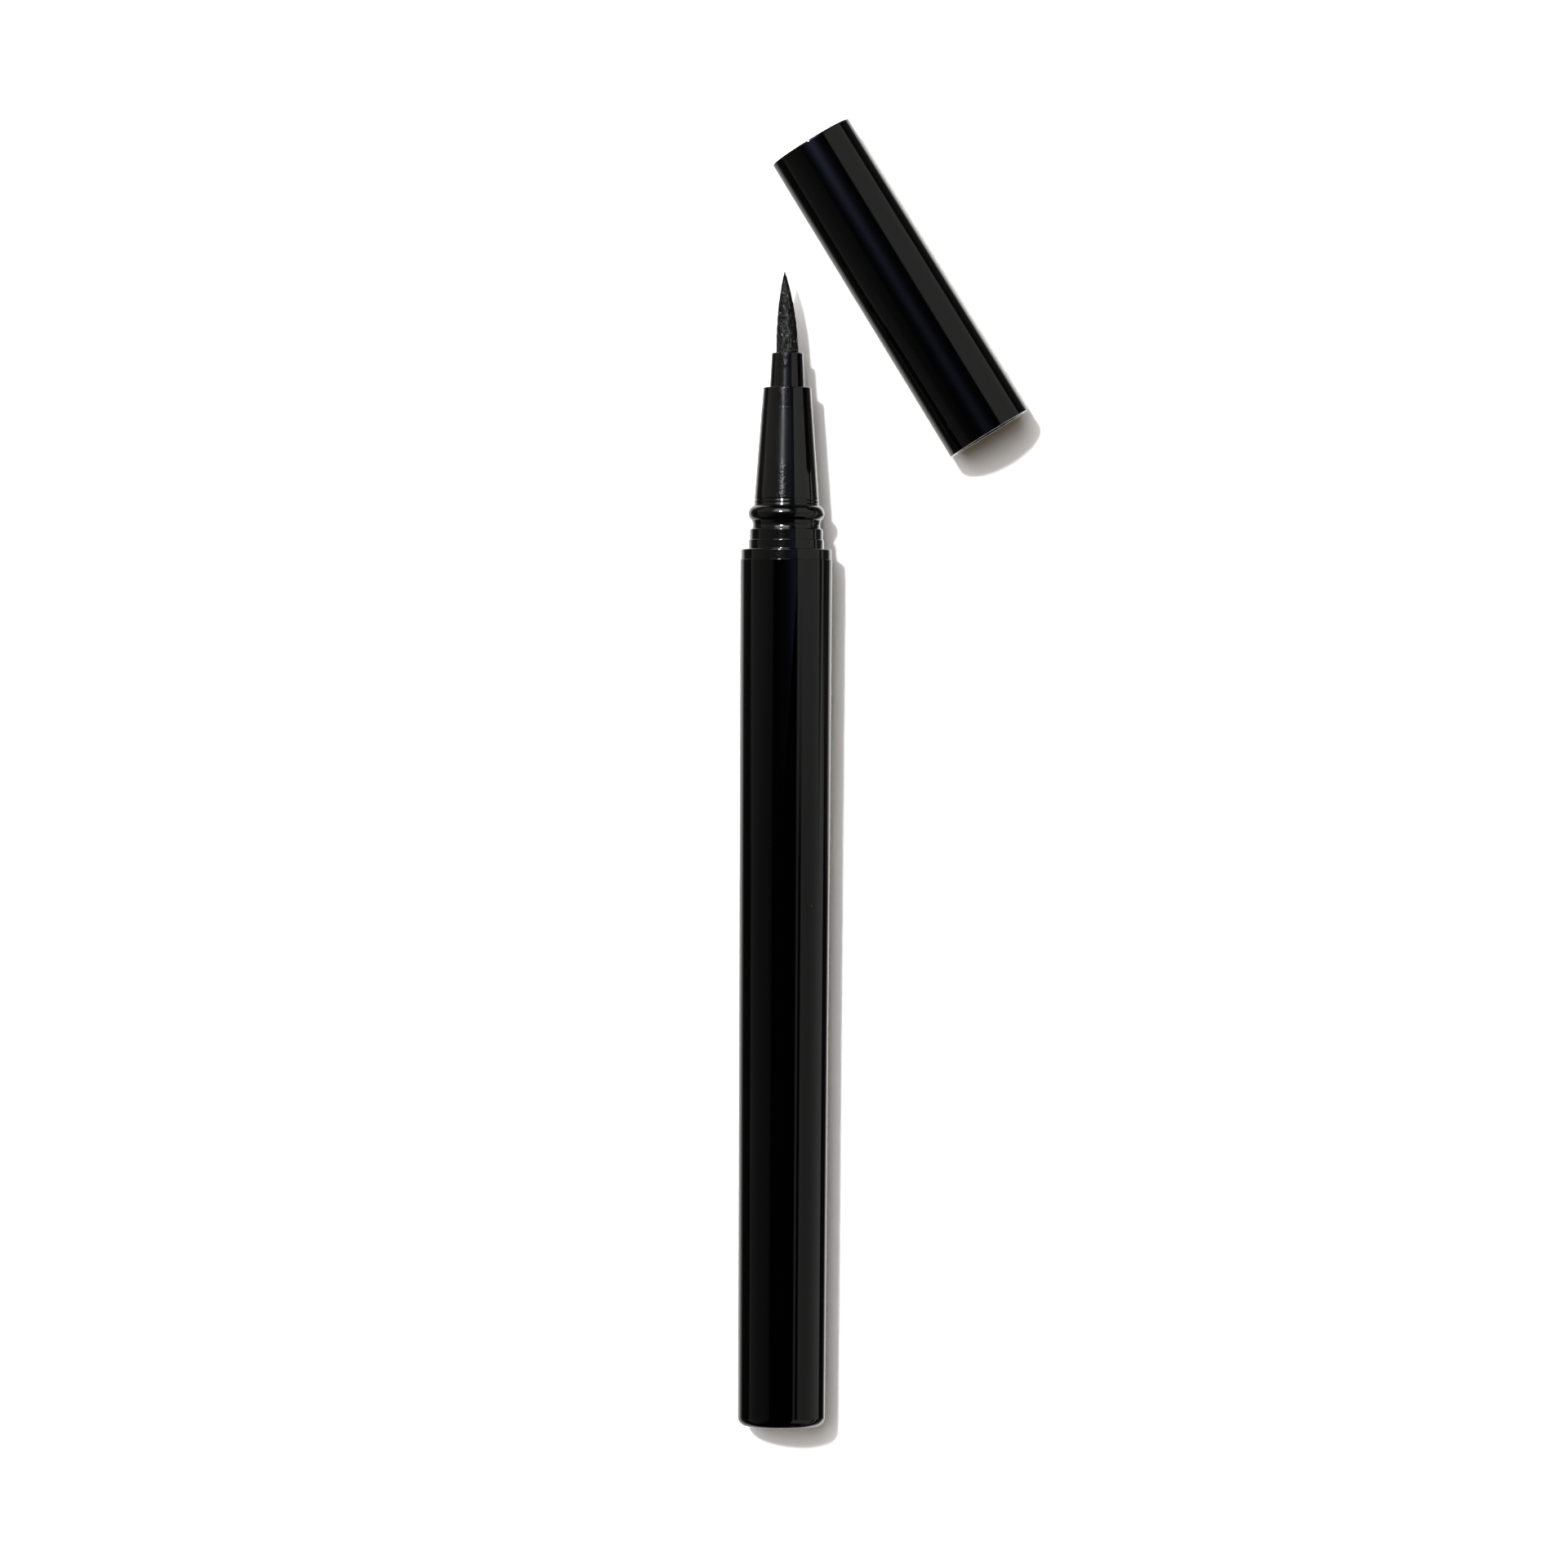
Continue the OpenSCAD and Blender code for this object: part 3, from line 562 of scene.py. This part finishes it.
# The moulding's profile, from back to front: each place is the one before plus the length of its part, and the
# cone's radius = base + (front - base) * (along - bead) / length.
def makeFront():
    s = frontShape
    barrelFront = barrelShape["length"]
    ring = barrelFront + s["ringLength"]
    stepA = ring + s["stepA"][1]
    stepB = stepA + s["stepB"][1]
    neck = stepB + s["neck"][1]
    bead = neck + s["beadLength"]
    nose = bead + s["coneLength"]

    def cone(along):
        return s["coneBase"] + (s["coneFront"] - s["coneBase"]) * (along - bead) / s["coneLength"]

    # where the bead's round meets the neck and the cone
    beadCentre = (s["beadRadius"] - s["beadRound"], (neck + bead) / 2)
    drop = s["neck"][0] - beadCentre[0]
    behind = math.degrees(math.asin(drop / s["beadRound"]))
    rise = s["coneBase"] - beadCentre[0]
    ahead = math.degrees(math.asin(rise / s["beadRound"]))
    # the hollows: depth * (1 - cos(full turn * share)) / 2 for a groove, 4 * depth * share * (1 - share) for the neck
    share = np.linspace(0, 1, s["hollowSteps"] + 1)
    lengths = [bead + start + s["grooveWidth"] * share for start in s["grooves"]]
    dip = s["grooveDepth"] * (1 - np.cos(2 * np.pi * share)) / 2
    grooves = np.vstack([np.stack([cone(along) - dip, along], axis=1) for along in lengths])
    waist = np.stack([s["neck"][0] - 4 * s["neckDip"] * share * (1 - share), stepB + s["neck"][1] * share], axis=1)
    witness = nose - s["witnessBehind"]
    profile = np.vstack([
        straight((s["chamber"], s["skirtStart"]), (s["skirtRadius"], s["skirtStart"]),
                 (s["skirtRadius"], barrelFront), (s["ringRadius"], barrelFront)),
        roundedCorner(s["ringRadius"], ring, s["edge"]),
        hollowCorner(s["stepA"][0], ring, s["foot"]),
        roundedCorner(s["stepA"][0], stepA, s["fineEdge"]),
        straight((s["stepB"][0], stepA)),
        roundedCorner(s["stepB"][0], stepB, s["edge"]),
        waist[:-1],
        arc(beadCentre, s["beadRound"], -(90 - behind), 90 - ahead, s["beadSteps"]),
        grooves,
        straight((cone(witness), witness), (cone(witness) - s["witnessDepth"], witness + s["witnessLength"])),
        roundedCorner(s["coneFront"], nose, s["edge"]),
        straight((s["noseBore"], nose), (s["noseBore"], nose - s["noseBoreLength"]),
                 (s["bay"], nose - s["noseBoreLength"]), (s["bay"], bead), (s["chamber"], bead)),
    ])
    front = lathe("frontMoulding", profile, True, onPen)
    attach(front, "pen")
    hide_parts("front_section")
    return front


# Tip holder
holderLow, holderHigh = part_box("tip_holder")
holderShape = {
    "back": holderLow.y / mm,
    "front": holderHigh.y / mm,
    "flangeRadius": holderHigh.x / mm,
    "flange": 1.2,
    "noseFront": frontHigh.y / mm,
    "baseRadius": 1.965,
    "frontRadius": 1.77,
    "edge": 0.1,
    "brushBore": 1.31,
    "rootBay": 1.55,
    "brushSeat": 2.4,  # ahead of the flange's front
}


# The holder's profile: flange, straight seat in the nose, tapered front, then the bore and the wider root bay.
def makeHolder():
    s = holderShape
    shoulder = s["back"] + s["flange"]
    seat = shoulder + s["brushSeat"]
    profile = np.vstack([
        straight((s["rootBay"], s["back"]), (s["flangeRadius"], s["back"]), (s["flangeRadius"], shoulder),
                 (s["baseRadius"], shoulder), (s["baseRadius"], s["noseFront"])),
        roundedCorner(s["frontRadius"], s["front"], s["edge"]),
        straight((s["brushBore"], s["front"]), (s["brushBore"], seat), (s["rootBay"], seat)),
    ])
    holder = lathe("brushHolder", profile, True, onPen)
    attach(holder, "pen")
    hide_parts("tip_holder")
    return holder


# Brush: fine filaments that close to a point, round a core of ink
brushLow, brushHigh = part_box("brush_bristles")
brushShape = {
    "point": brushHigh.y / mm,
    "back": brushLow.y / mm,
    "mouth": holderHigh.y / mm,
    "radius": 1.28,
    "fullShare": 0.98,  # share of the length over which the brush widens
    "power": 0.85,  # how full the point is
    "lean": 0.35,  # sideways shift of the point, towards -X
    "leanPower": 1.2,
    "filaments": 420,
    "rings": 26,
    "sides": 5,
    "crowding": 0.9,  # below 1, the rings lie closer towards the point
    "thickness": 0.16,
    "tipThickness": 0.09,
    "thickest": 0.6,  # most of a filament's radius, as a share of the brush's
    "stagger": 0.2,  # how far short of the point the outer filaments end
    "staggerSpread": (0.55, 1.0),
    "wave": 0.045,  # sideways wander of a filament
    "waves": 8.0,  # wanders along its length
    "waveSpread": (0.6, 1.4),
    "waveShares": (0.7, 0.3),  # of the slow and the quick sine
    "quickWave": 2.3,  # quick sine's beat over the slow one's
    "calmLength": 1.2,  # out of the mouth, over which the wander grows
    "goldenAngle": 137.508,
    "seed": 11,
    "coreShare": 0.93,  # of the brush's radius
    "coreTurns": 48,
    "coreRings": 16,
    "coreStart": 1.2,  # from the point to where the core's even rings start
    "slice": 0.4,  # fused slice at the root
    "sliceInset": 0.001,  # by which the core ends inside it
}


# Radius of the brush at a distance t from its point: R * sin(90 deg * (t / (share * length)) ^ power).
def brushRadius(t):
    s = brushShape
    share = np.clip(t / ((s["point"] - s["mouth"]) * s["fullShare"]), 0, 1)
    return s["radius"] * np.sin(np.pi / 2 * share ** s["power"])


# Sideways shift of the brush's middle: lean * (1 - t / length) ^ leanPower.
def brushLean(t):
    s = brushShape
    return s["lean"] * np.clip(1 - t / (s["point"] - s["mouth"]), 0, 1) ** s["leanPower"]


# Wander of a filament: calm * (slow * sin(beat + phase) + quick * sin(quickWave * beat + other phase)).
def brushWander(calm, beat, phase, otherPhase):
    slow, quick = brushShape["waveShares"]
    return calm * np.sin(beat + phase) * slow + calm * np.sin(brushShape["quickWave"] * beat + otherPhase) * quick


# Filament i starts at seat share sqrt((i + 0.5) / count) and golden angle i, and runs to the point. Ring j of it
# lies at t from the point, at seat share * brush radius, wandering by two sines, with its corners round it.
def makeBrush():
    s = brushShape
    rng = np.random.default_rng(s["seed"])
    count, rings, sides = s["filaments"], s["rings"], s["sides"]
    number = np.arange(count)
    share = np.sqrt((number + 0.5) / count)
    turn = np.radians(s["goldenAngle"]) * number
    length = s["point"] - s["mouth"]
    end = s["stagger"] * share * rng.uniform(*s["staggerSpread"], count)
    start = s["point"] - s["back"] - s["slice"] / 2
    step = np.linspace(0, 1, rings) ** s["crowding"]
    t = start + (end[:, None] - start) * step[None, :]
    phase = rng.uniform(0, 2 * np.pi, (4, count, 1))
    beat = 2 * np.pi * s["waves"] * rng.uniform(*s["waveSpread"], (count, 1)) * (t / length)
    calm = np.clip((length - t) / s["calmLength"], 0, 1) * s["wave"]
    widest = brushRadius(np.minimum(t, length))
    thick = np.minimum(s["thickness"] / 2, np.maximum(widest * s["thickest"], s["tipThickness"] / 2))
    reach = np.maximum(widest - thick - calm * widest / s["radius"], 0)
    fade = widest / s["radius"]
    middleX = (share[:, None] * reach * np.cos(turn)[:, None]
               + brushWander(calm, beat, phase[0], phase[1]) * fade - brushLean(t))
    middleZ = share[:, None] * reach * np.sin(turn)[:, None] + brushWander(calm, beat, phase[2], phase[3]) * fade
    spin = (np.arange(sides) / sides * 2 * np.pi)[None, None, :] + turn[:, None, None]
    x = middleX[..., None] + thick[..., None] * np.cos(spin)
    z = middleZ[..., None] + thick[..., None] * np.sin(spin)
    y = (s["point"] - t)[..., None] + 0 * spin
    filaments = np.stack([x, y, z], axis=-1).reshape(-1, 3)
    index = np.arange(count * rings * sides).reshape(count, rings, sides)
    across = np.roll(index, -1, axis=2)
    walls = np.stack([index[:, :-1], index[:, 1:], across[:, 1:], across[:, :-1]], axis=-1).reshape(-1, 4)
    ends = np.concatenate([index[:, 0], index[:, -1, ::-1]])
    # the core: a lathe of the brush's own radius that leans with it, with the fused slice behind it
    turns = s["coreTurns"]
    angle = np.linspace(0, 2 * np.pi, turns, endpoint=False)[:, None]
    coreT = np.concatenate([[s["stagger"]], np.linspace(s["coreStart"], length, s["coreRings"]),
                            [start + s["slice"] / 2 - s["sliceInset"]]])[None, :]
    coreR = brushRadius(np.minimum(coreT, length)) * s["coreShare"]
    coreR[0, -1] = coreR[0, -2]
    coreR = np.concatenate([[[0]], coreR, [[0]]], axis=1)
    coreT = np.concatenate([coreT[:, :1], coreT, coreT[:, -1:]], axis=1)
    core = np.stack([coreR * np.cos(angle) - brushLean(coreT), s["point"] - coreT + 0 * angle,
                     coreR * np.sin(angle)], axis=-1).reshape(-1, 3)
    rows = coreR.shape[1]
    grid = np.arange(turns * rows).reshape(turns, rows) + len(filaments)
    grid[:, 0] = grid[0, 0]
    grid[:, -1] = grid[0, -1]
    ahead = np.roll(grid, -1, axis=0)
    quads = np.stack([grid[:, :-1], ahead[:, :-1], ahead[:, 1:], grid[:, 1:]], axis=2)
    first, last = quads[:, 0][:, [0, 2, 3]], quads[:, -1][:, [0, 1, 2]]
    brush = meshFromGrid("brushFilaments", np.vstack([filaments, core]),
                         [np.vstack([walls, quads[:, 1:-1].reshape(-1, 4)]), ends, first, last])
    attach(brush, "pen")
    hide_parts("brush_bristles")
    return brush


# Cap
capShape = {
    "length": 38.73,
    "mouthRadius": 5.15,
    "endRadius": 5.0,
    "endWall": 1.2,
    "endRound": 0.16,
    "mouthRound": 0.05,
    "bore": capMouth["dims"]["r_mm"],
    "linerBay": 4.15,
    "linerBayStart": 5.01,
    "ribAt": 2.78,
    "ribHeight": 0.15,
    "ribSteps": 10,
    "mouthSteps": 5,
    "endSteps": 8,
}


# The cap's profile, from the middle of its floor: the liner's bay, the bore with its rib, the mouth, the outside.
def makeCap():
    s = capShape
    floor = s["length"] - s["endWall"]
    profile = np.vstack([
        straight((0, floor), (s["linerBay"], floor), (s["linerBay"], s["linerBayStart"]),
                 (s["bore"], s["linerBayStart"])),
        arc((s["bore"], s["ribAt"]), s["ribHeight"], 90, 270, s["ribSteps"]),
        straight((s["bore"], capLead), (s["bore"] + capLead, 0)),
        arc((s["mouthRadius"] - s["mouthRound"], s["mouthRound"]), s["mouthRound"], -90, 0, s["mouthSteps"]),
        roundedCorner(s["endRadius"], s["length"], s["endRound"], s["endSteps"]),
        straight((0, s["length"])),
    ])
    cap = lathe("capShell", profile, False, onCap)
    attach(cap, "cap")
    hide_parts("cap_shell")
    return cap


barrel = makeBarrel()
front = makeFront()
holder = makeHolder()
brush = makeBrush()
cap = makeCap()
print("stage: visible pieces made")


# A shader node group with named inputs (name, kind, value) and outputs (name, kind).
def newGroup(name, ins, outs):
    group = bpy.data.node_groups.new(name, "ShaderNodeTree")
    for label, kind, value in ins:
        socket = group.interface.new_socket(label, in_out="INPUT", socket_type=kind)
        if value is not None:
            socket.default_value = value
    for label, kind in outs:
        group.interface.new_socket(label, in_out="OUTPUT", socket_type=kind)
    return group, group.nodes.new("NodeGroupInput"), group.nodes.new("NodeGroupOutput")


# Sparse specks: 1 where a cell's own random number is under Share and its middle is nearer than Size.
def makeDustGroup():
    group, given, result = newGroup(
        "fineDust",
        [("Position", "NodeSocketVector", None), ("Cells per Metre", "NodeSocketFloat", 700.0),
         ("Share", "NodeSocketFloat", 0.1), ("Size", "NodeSocketFloat", 0.08)],
        [("Mask", "NodeSocketFloat")])
    cell = addNode(group, "ShaderNodeTexVoronoi", {"Vector": given.outputs["Position"],
                                                   "Scale": given.outputs["Cells per Metre"]})
    luck = addNode(group, "ShaderNodeSeparateColor", {0: cell.outputs["Color"]})
    chosen = addNode(group, "ShaderNodeMath", {0: luck.outputs[0], 1: given.outputs["Share"]},
                     operation="LESS_THAN")
    inside = addNode(group, "ShaderNodeMath", {0: cell.outputs["Distance"], 1: given.outputs["Size"]},
                     operation="LESS_THAN")
    both = addNode(group, "ShaderNodeMath", {0: chosen.outputs[0], 1: inside.outputs[0]}, operation="MULTIPLY")
    group.links.new(both.outputs[0], result.inputs["Mask"])
    return group


# Moulded skin: slow waves of flow along the piece, and a fine spark-eroded grain, each a noise of its own size.
def makeGrainGroup():
    group, given, result = newGroup(
        "mouldedSkin",
        [("Position", "NodeSocketVector", None), ("Flow per Metre", "NodeSocketFloat", 300.0),
         ("Grain per Metre", "NodeSocketFloat", 9000.0), ("Grain Share", "NodeSocketFloat", 0.5)],
        [("Height", "NodeSocketFloat"), ("Cloud", "NodeSocketFloat")])
    flow = addNode(group, "ShaderNodeTexNoise", {"Vector": given.outputs["Position"],
                                                 "Scale": given.outputs["Flow per Metre"], "Detail": 1.0})
    grain = addNode(group, "ShaderNodeTexNoise", {"Vector": given.outputs["Position"],
                                                  "Scale": given.outputs["Grain per Metre"], "Detail": 2.0})
    mixed = addNode(group, "ShaderNodeMix", {"Factor": given.outputs["Grain Share"], "A": flow.outputs["Fac"],
                                             "B": grain.outputs["Fac"]})
    group.links.new(mixed.outputs["Result"], result.inputs["Height"])
    group.links.new(flow.outputs["Fac"], result.inputs["Cloud"])
    return group


dustGroup = makeDustGroup()
grainGroup = makeGrainGroup()


# A material with a Principled shader, and the piece's own coordinates, which are in metres.
def newMaterial(name):
    material = bpy.data.materials.new(name)
    material.use_nodes = True
    tree = material.node_tree
    surface = tree.nodes["Principled BSDF"]
    position = addNode(tree, "ShaderNodeTexCoord").outputs["Object"]
    return material, tree, surface, position


# Colour from low to high as share goes from 0 to 1.
def mixColors(tree, share, low, high):
    mixed = addNode(tree, "ShaderNodeMix", data_type="RGBA")
    tree.links.new(share, mixed.inputs[0])
    mixed.inputs[mixLow].default_value = (*low, 1)
    mixed.inputs[mixHigh].default_value = (*high, 1)
    return mixed.outputs[mixResult]


# Raises the surface by depth mm where height is 1.
def addBump(tree, height, depth, surface):
    bump = addNode(tree, "ShaderNodeBump", {"Height": height, "Distance": depth * mm, "Strength": 1.0})
    tree.links.new(bump.outputs[0], surface.inputs["Normal"])
    return bump


plasticIor = 1.5
noiseRange = (0.3, 0.7)  # the part of its range that a noise mostly keeps to
glossBlack = {
    "color": (0.0004, 0.0004, 0.0004),
    "dustColor": (0.05, 0.05, 0.055),
    "dust": {"Cells per Metre": 330.0, "Share": 0.06, "Size": 0.03},
    "roughness": (0.025, 0.05),
    "flow": 260.0,  # waves per metre
    "flowDepth": 0.0006,  # mm
}


# A material's skin group at the piece's own coordinates: flow and grain per metre, and the grain's share.
def addSkin(tree, position, flow, grain, share):
    return addNode(tree, "ShaderNodeGroup", {"Position": position, "Flow per Metre": flow, "Grain per Metre": grain,
                                             "Grain Share": share}, node_tree=grainGroup)


# Base colour from plain to dusty where the dust group says so.
def addDust(tree, position, dust, plain, dusty, surface):
    specks = addNode(tree, "ShaderNodeGroup", {"Position": position, **dust}, node_tree=dustGroup)
    tree.links.new(mixColors(tree, specks.outputs["Mask"], plain, dusty), surface.inputs["Base Color"])


# Piano-black plastic: nearly a mirror, with faint flow waves and a few specks of dust.
def makeGlossBlack(name):
    s = glossBlack
    material, tree, surface, position = newMaterial(name)
    skin = addNode(tree, "ShaderNodeGroup", {"Position": position, "Flow per Metre": s["flow"], "Grain Share": 0.0},
                   node_tree=grainGroup)
    addDust(tree, position, s["dust"], s["color"], s["dustColor"], surface)
    rough = rescale(tree, skin.outputs["Cloud"], *noiseRange, *s["roughness"])
    tree.links.new(rough, surface.inputs["Roughness"])
    surface.inputs["IOR"].default_value = plasticIor
    addBump(tree, skin.outputs["Height"], s["flowDepth"], surface)
    return material


frontBlack = {
    "color": (0.0016, 0.0016, 0.0016),
    "dustColor": (0.05, 0.05, 0.05),
    "dust": {"Cells per Metre": 900.0, "Share": 0.05, "Size": 0.05},
    "specular": 0.042,
    "roughness": (0.05, 0.29),  # where the grain is double, and where there is none
    "doubleGrain": 2.0,
    "clouding": (0.9, 1.1),  # the roughness goes up and down by this factor
    "skinRoughness": 0.05,
    "flow": 420.0,  # waves per metre
}
# Grain per metre, its depth in mm, and how much of it there is along the piece: mm ahead of the tail, share
frontGrain = (4600.0, 0.026, [(98.0, 0.6), (104.0, 0.6), (105.0, 1.0), (108.5, 1.0), (109.5, 0.2), (115.0, 0.15),
                              (116.0, 1.5)])
holderGrain = (3600.0, 0.045, [(117.5, 0.2), (119.7, 0.2), (120.1, 1.2)])


# Moulded black plastic: a grainy base that glints under a small lamp, and the smooth skin of the mould over it.
def makeFrontBlack(name, grainSize, grainDepth, grainMarks):
    s = frontBlack
    material, tree, surface, position = newMaterial(name)
    skin = addSkin(tree, position, s["flow"], grainSize, 1.0)
    addDust(tree, position, s["dust"], s["color"], s["dustColor"], surface)
    surface.inputs["IOR"].default_value = plasticIor
    surface.inputs["Specular IOR Level"].default_value = s["specular"]
    surface.inputs["Coat Weight"].default_value = 1.0
    surface.inputs["Coat Roughness"].default_value = s["skinRoughness"]
    # the grain's height times its share at this place along the pen
    xyz = addNode(tree, "ShaderNodeSeparateXYZ", {0: position})
    low, high = grainMarks[0][0], grainMarks[-1][0]
    along = rescale(tree, xyz.outputs["Y"], low * mm, high * mm, 0.0, 1.0)
    share = addRamp(tree, along, greyMarks(grainMarks, low, high))
    height = addNode(tree, "ShaderNodeMath", {0: skin.outputs["Height"], 1: share}, operation="MULTIPLY")
    addBump(tree, height.outputs[0], grainDepth, surface)
    fineRough, plainRough = s["roughness"]
    rough = rescale(tree, share, 0.0, s["doubleGrain"], plainRough, fineRough)
    cloud = rescale(tree, skin.outputs["Cloud"], *noiseRange, *s["clouding"])
    varied = addNode(tree, "ShaderNodeMath", {0: rough, 1: cloud}, operation="MULTIPLY")
    tree.links.new(varied.outputs[0], surface.inputs["Roughness"])
    return material


bristleBlack = {
    "colors": ((0.0005, 0.0005, 0.0006), (0.002, 0.002, 0.0022)),
    "roughness": (0.12, 0.24),
    "specular": 0.4,
    "flow": 1500.0,  # per metre, as for the grain
    "grain": 2700.0,
    "grainDepth": 0.42,  # mm
}


# Black filaments wet with ink: sharp glints that change from place to place.
def makeBristleBlack():
    s = bristleBlack
    material, tree, surface, position = newMaterial("bristleWet")
    skin = addSkin(tree, position, s["flow"], s["grain"], 1.0)
    tree.links.new(mixColors(tree, skin.outputs["Cloud"], *s["colors"]), surface.inputs["Base Color"])
    rough = rescale(tree, skin.outputs["Cloud"], *noiseRange, *s["roughness"])
    tree.links.new(rough, surface.inputs["Roughness"])
    surface.inputs["IOR"].default_value = plasticIor
    surface.inputs["Specular IOR Level"].default_value = s["specular"]
    addBump(tree, skin.outputs["Height"], s["grainDepth"], surface)
    return material


# Pieces that the photograph doesn't show: material, colour range, roughness range, grain per metre and depth in mm
hiddenFinishes = {
    "inner_cap": ("linerResin", (0.020, 0.020, 0.022), (0.032, 0.032, 0.034), (0.34, 0.46), 6000.0, 0.002),
    "brush_root": ("fusedRoot", (0.010, 0.010, 0.011), (0.030, 0.030, 0.031), (0.40, 0.60), 9000.0, 0.006),
    "feed_tube": ("tubeResin", (0.66, 0.66, 0.62), (0.74, 0.74, 0.70), (0.25, 0.35), 4000.0, 0.001),
    "tube_holder": ("holderResin", (0.74, 0.74, 0.70), (0.80, 0.80, 0.76), (0.35, 0.48), 5000.0, 0.002),
    "feed_core": ("fibreInked", (0.020, 0.020, 0.022), (0.075, 0.075, 0.080), (0.75, 0.92), 12000.0, 0.012),
    "collector": ("combResin", (0.70, 0.70, 0.66), (0.77, 0.77, 0.73), (0.35, 0.48), 5000.0, 0.002),
    "tank_plug": ("plugResin", (0.70, 0.70, 0.66), (0.77, 0.77, 0.73), (0.35, 0.48), 5000.0, 0.002),
    "plug_seal": ("sealRubber", (0.022, 0.022, 0.022), (0.036, 0.036, 0.036), (0.55, 0.70), 7000.0, 0.003),
    "ink_tank": ("tankResin", (0.76, 0.75, 0.71), (0.84, 0.83, 0.79), (0.30, 0.42), 3000.0, 0.0015),
}
hiddenSkin = {
    "grainPerFlow": 8,  # grains to a wave of flow
    "grainShare": 0.6,
}


# Moulded resin, rubber or fibre: colour and roughness follow the flow, and a fine grain raises the skin.
def makeHiddenFinish(name, low, high, roughness, grain, depth):
    material, tree, surface, position = newMaterial(name)
    skin = addSkin(tree, position, grain / hiddenSkin["grainPerFlow"], grain, hiddenSkin["grainShare"])
    shade = rescale(tree, skin.outputs["Cloud"], *noiseRange, 0.0, 1.0)
    tree.links.new(mixColors(tree, shade, low, high), surface.inputs["Base Color"])
    rough = rescale(tree, skin.outputs["Height"], *noiseRange, *roughness)
    tree.links.new(rough, surface.inputs["Roughness"])
    addBump(tree, skin.outputs["Height"], depth, surface)
    return material


steelLook = {
    "colors": ((0.55, 0.55, 0.56), (0.68, 0.68, 0.69)),
    "roughness": (0.12, 0.28),
    "flow": 900.0,  # per metre, as for the grain
    "grain": 15000.0,
    "grainShare": 0.7,
    "grainDepth": 0.001,  # mm
}


# Ground steel: a bright metal with fine scratches that its roughness carries.
def makeSteel():
    s = steelLook
    material, tree, surface, position = newMaterial("groundSteel")
    skin = addSkin(tree, position, s["flow"], s["grain"], s["grainShare"])
    tree.links.new(mixColors(tree, skin.outputs["Cloud"], *s["colors"]), surface.inputs["Base Color"])
    rough = rescale(tree, skin.outputs["Height"], *noiseRange, *s["roughness"])
    tree.links.new(rough, surface.inputs["Roughness"])
    surface.inputs["Metallic"].default_value = 1.0
    addBump(tree, skin.outputs["Height"], s["grainDepth"], surface)
    return material


# Gives a piece one material.
def wear(piece, material):
    piece.data.materials.clear()
    piece.data.materials.append(material)


gloss = makeGlossBlack("pianoBlack")
wear(barrel, gloss)
wear(cap, gloss)
wear(front, makeFrontBlack("frontBlack", *frontGrain))
wear(holder, makeFrontBlack("holderBlack", *holderGrain))
wear(brush, makeBristleBlack())
hidden = {node: makeHiddenFinish(*finish) for node, finish in hiddenFinishes.items()}
hidden["mixing_ball"] = makeSteel()
for node, material in hidden.items():
    for place in nodes[node].material_slots:
        place.material = material
print("stage: materials made")
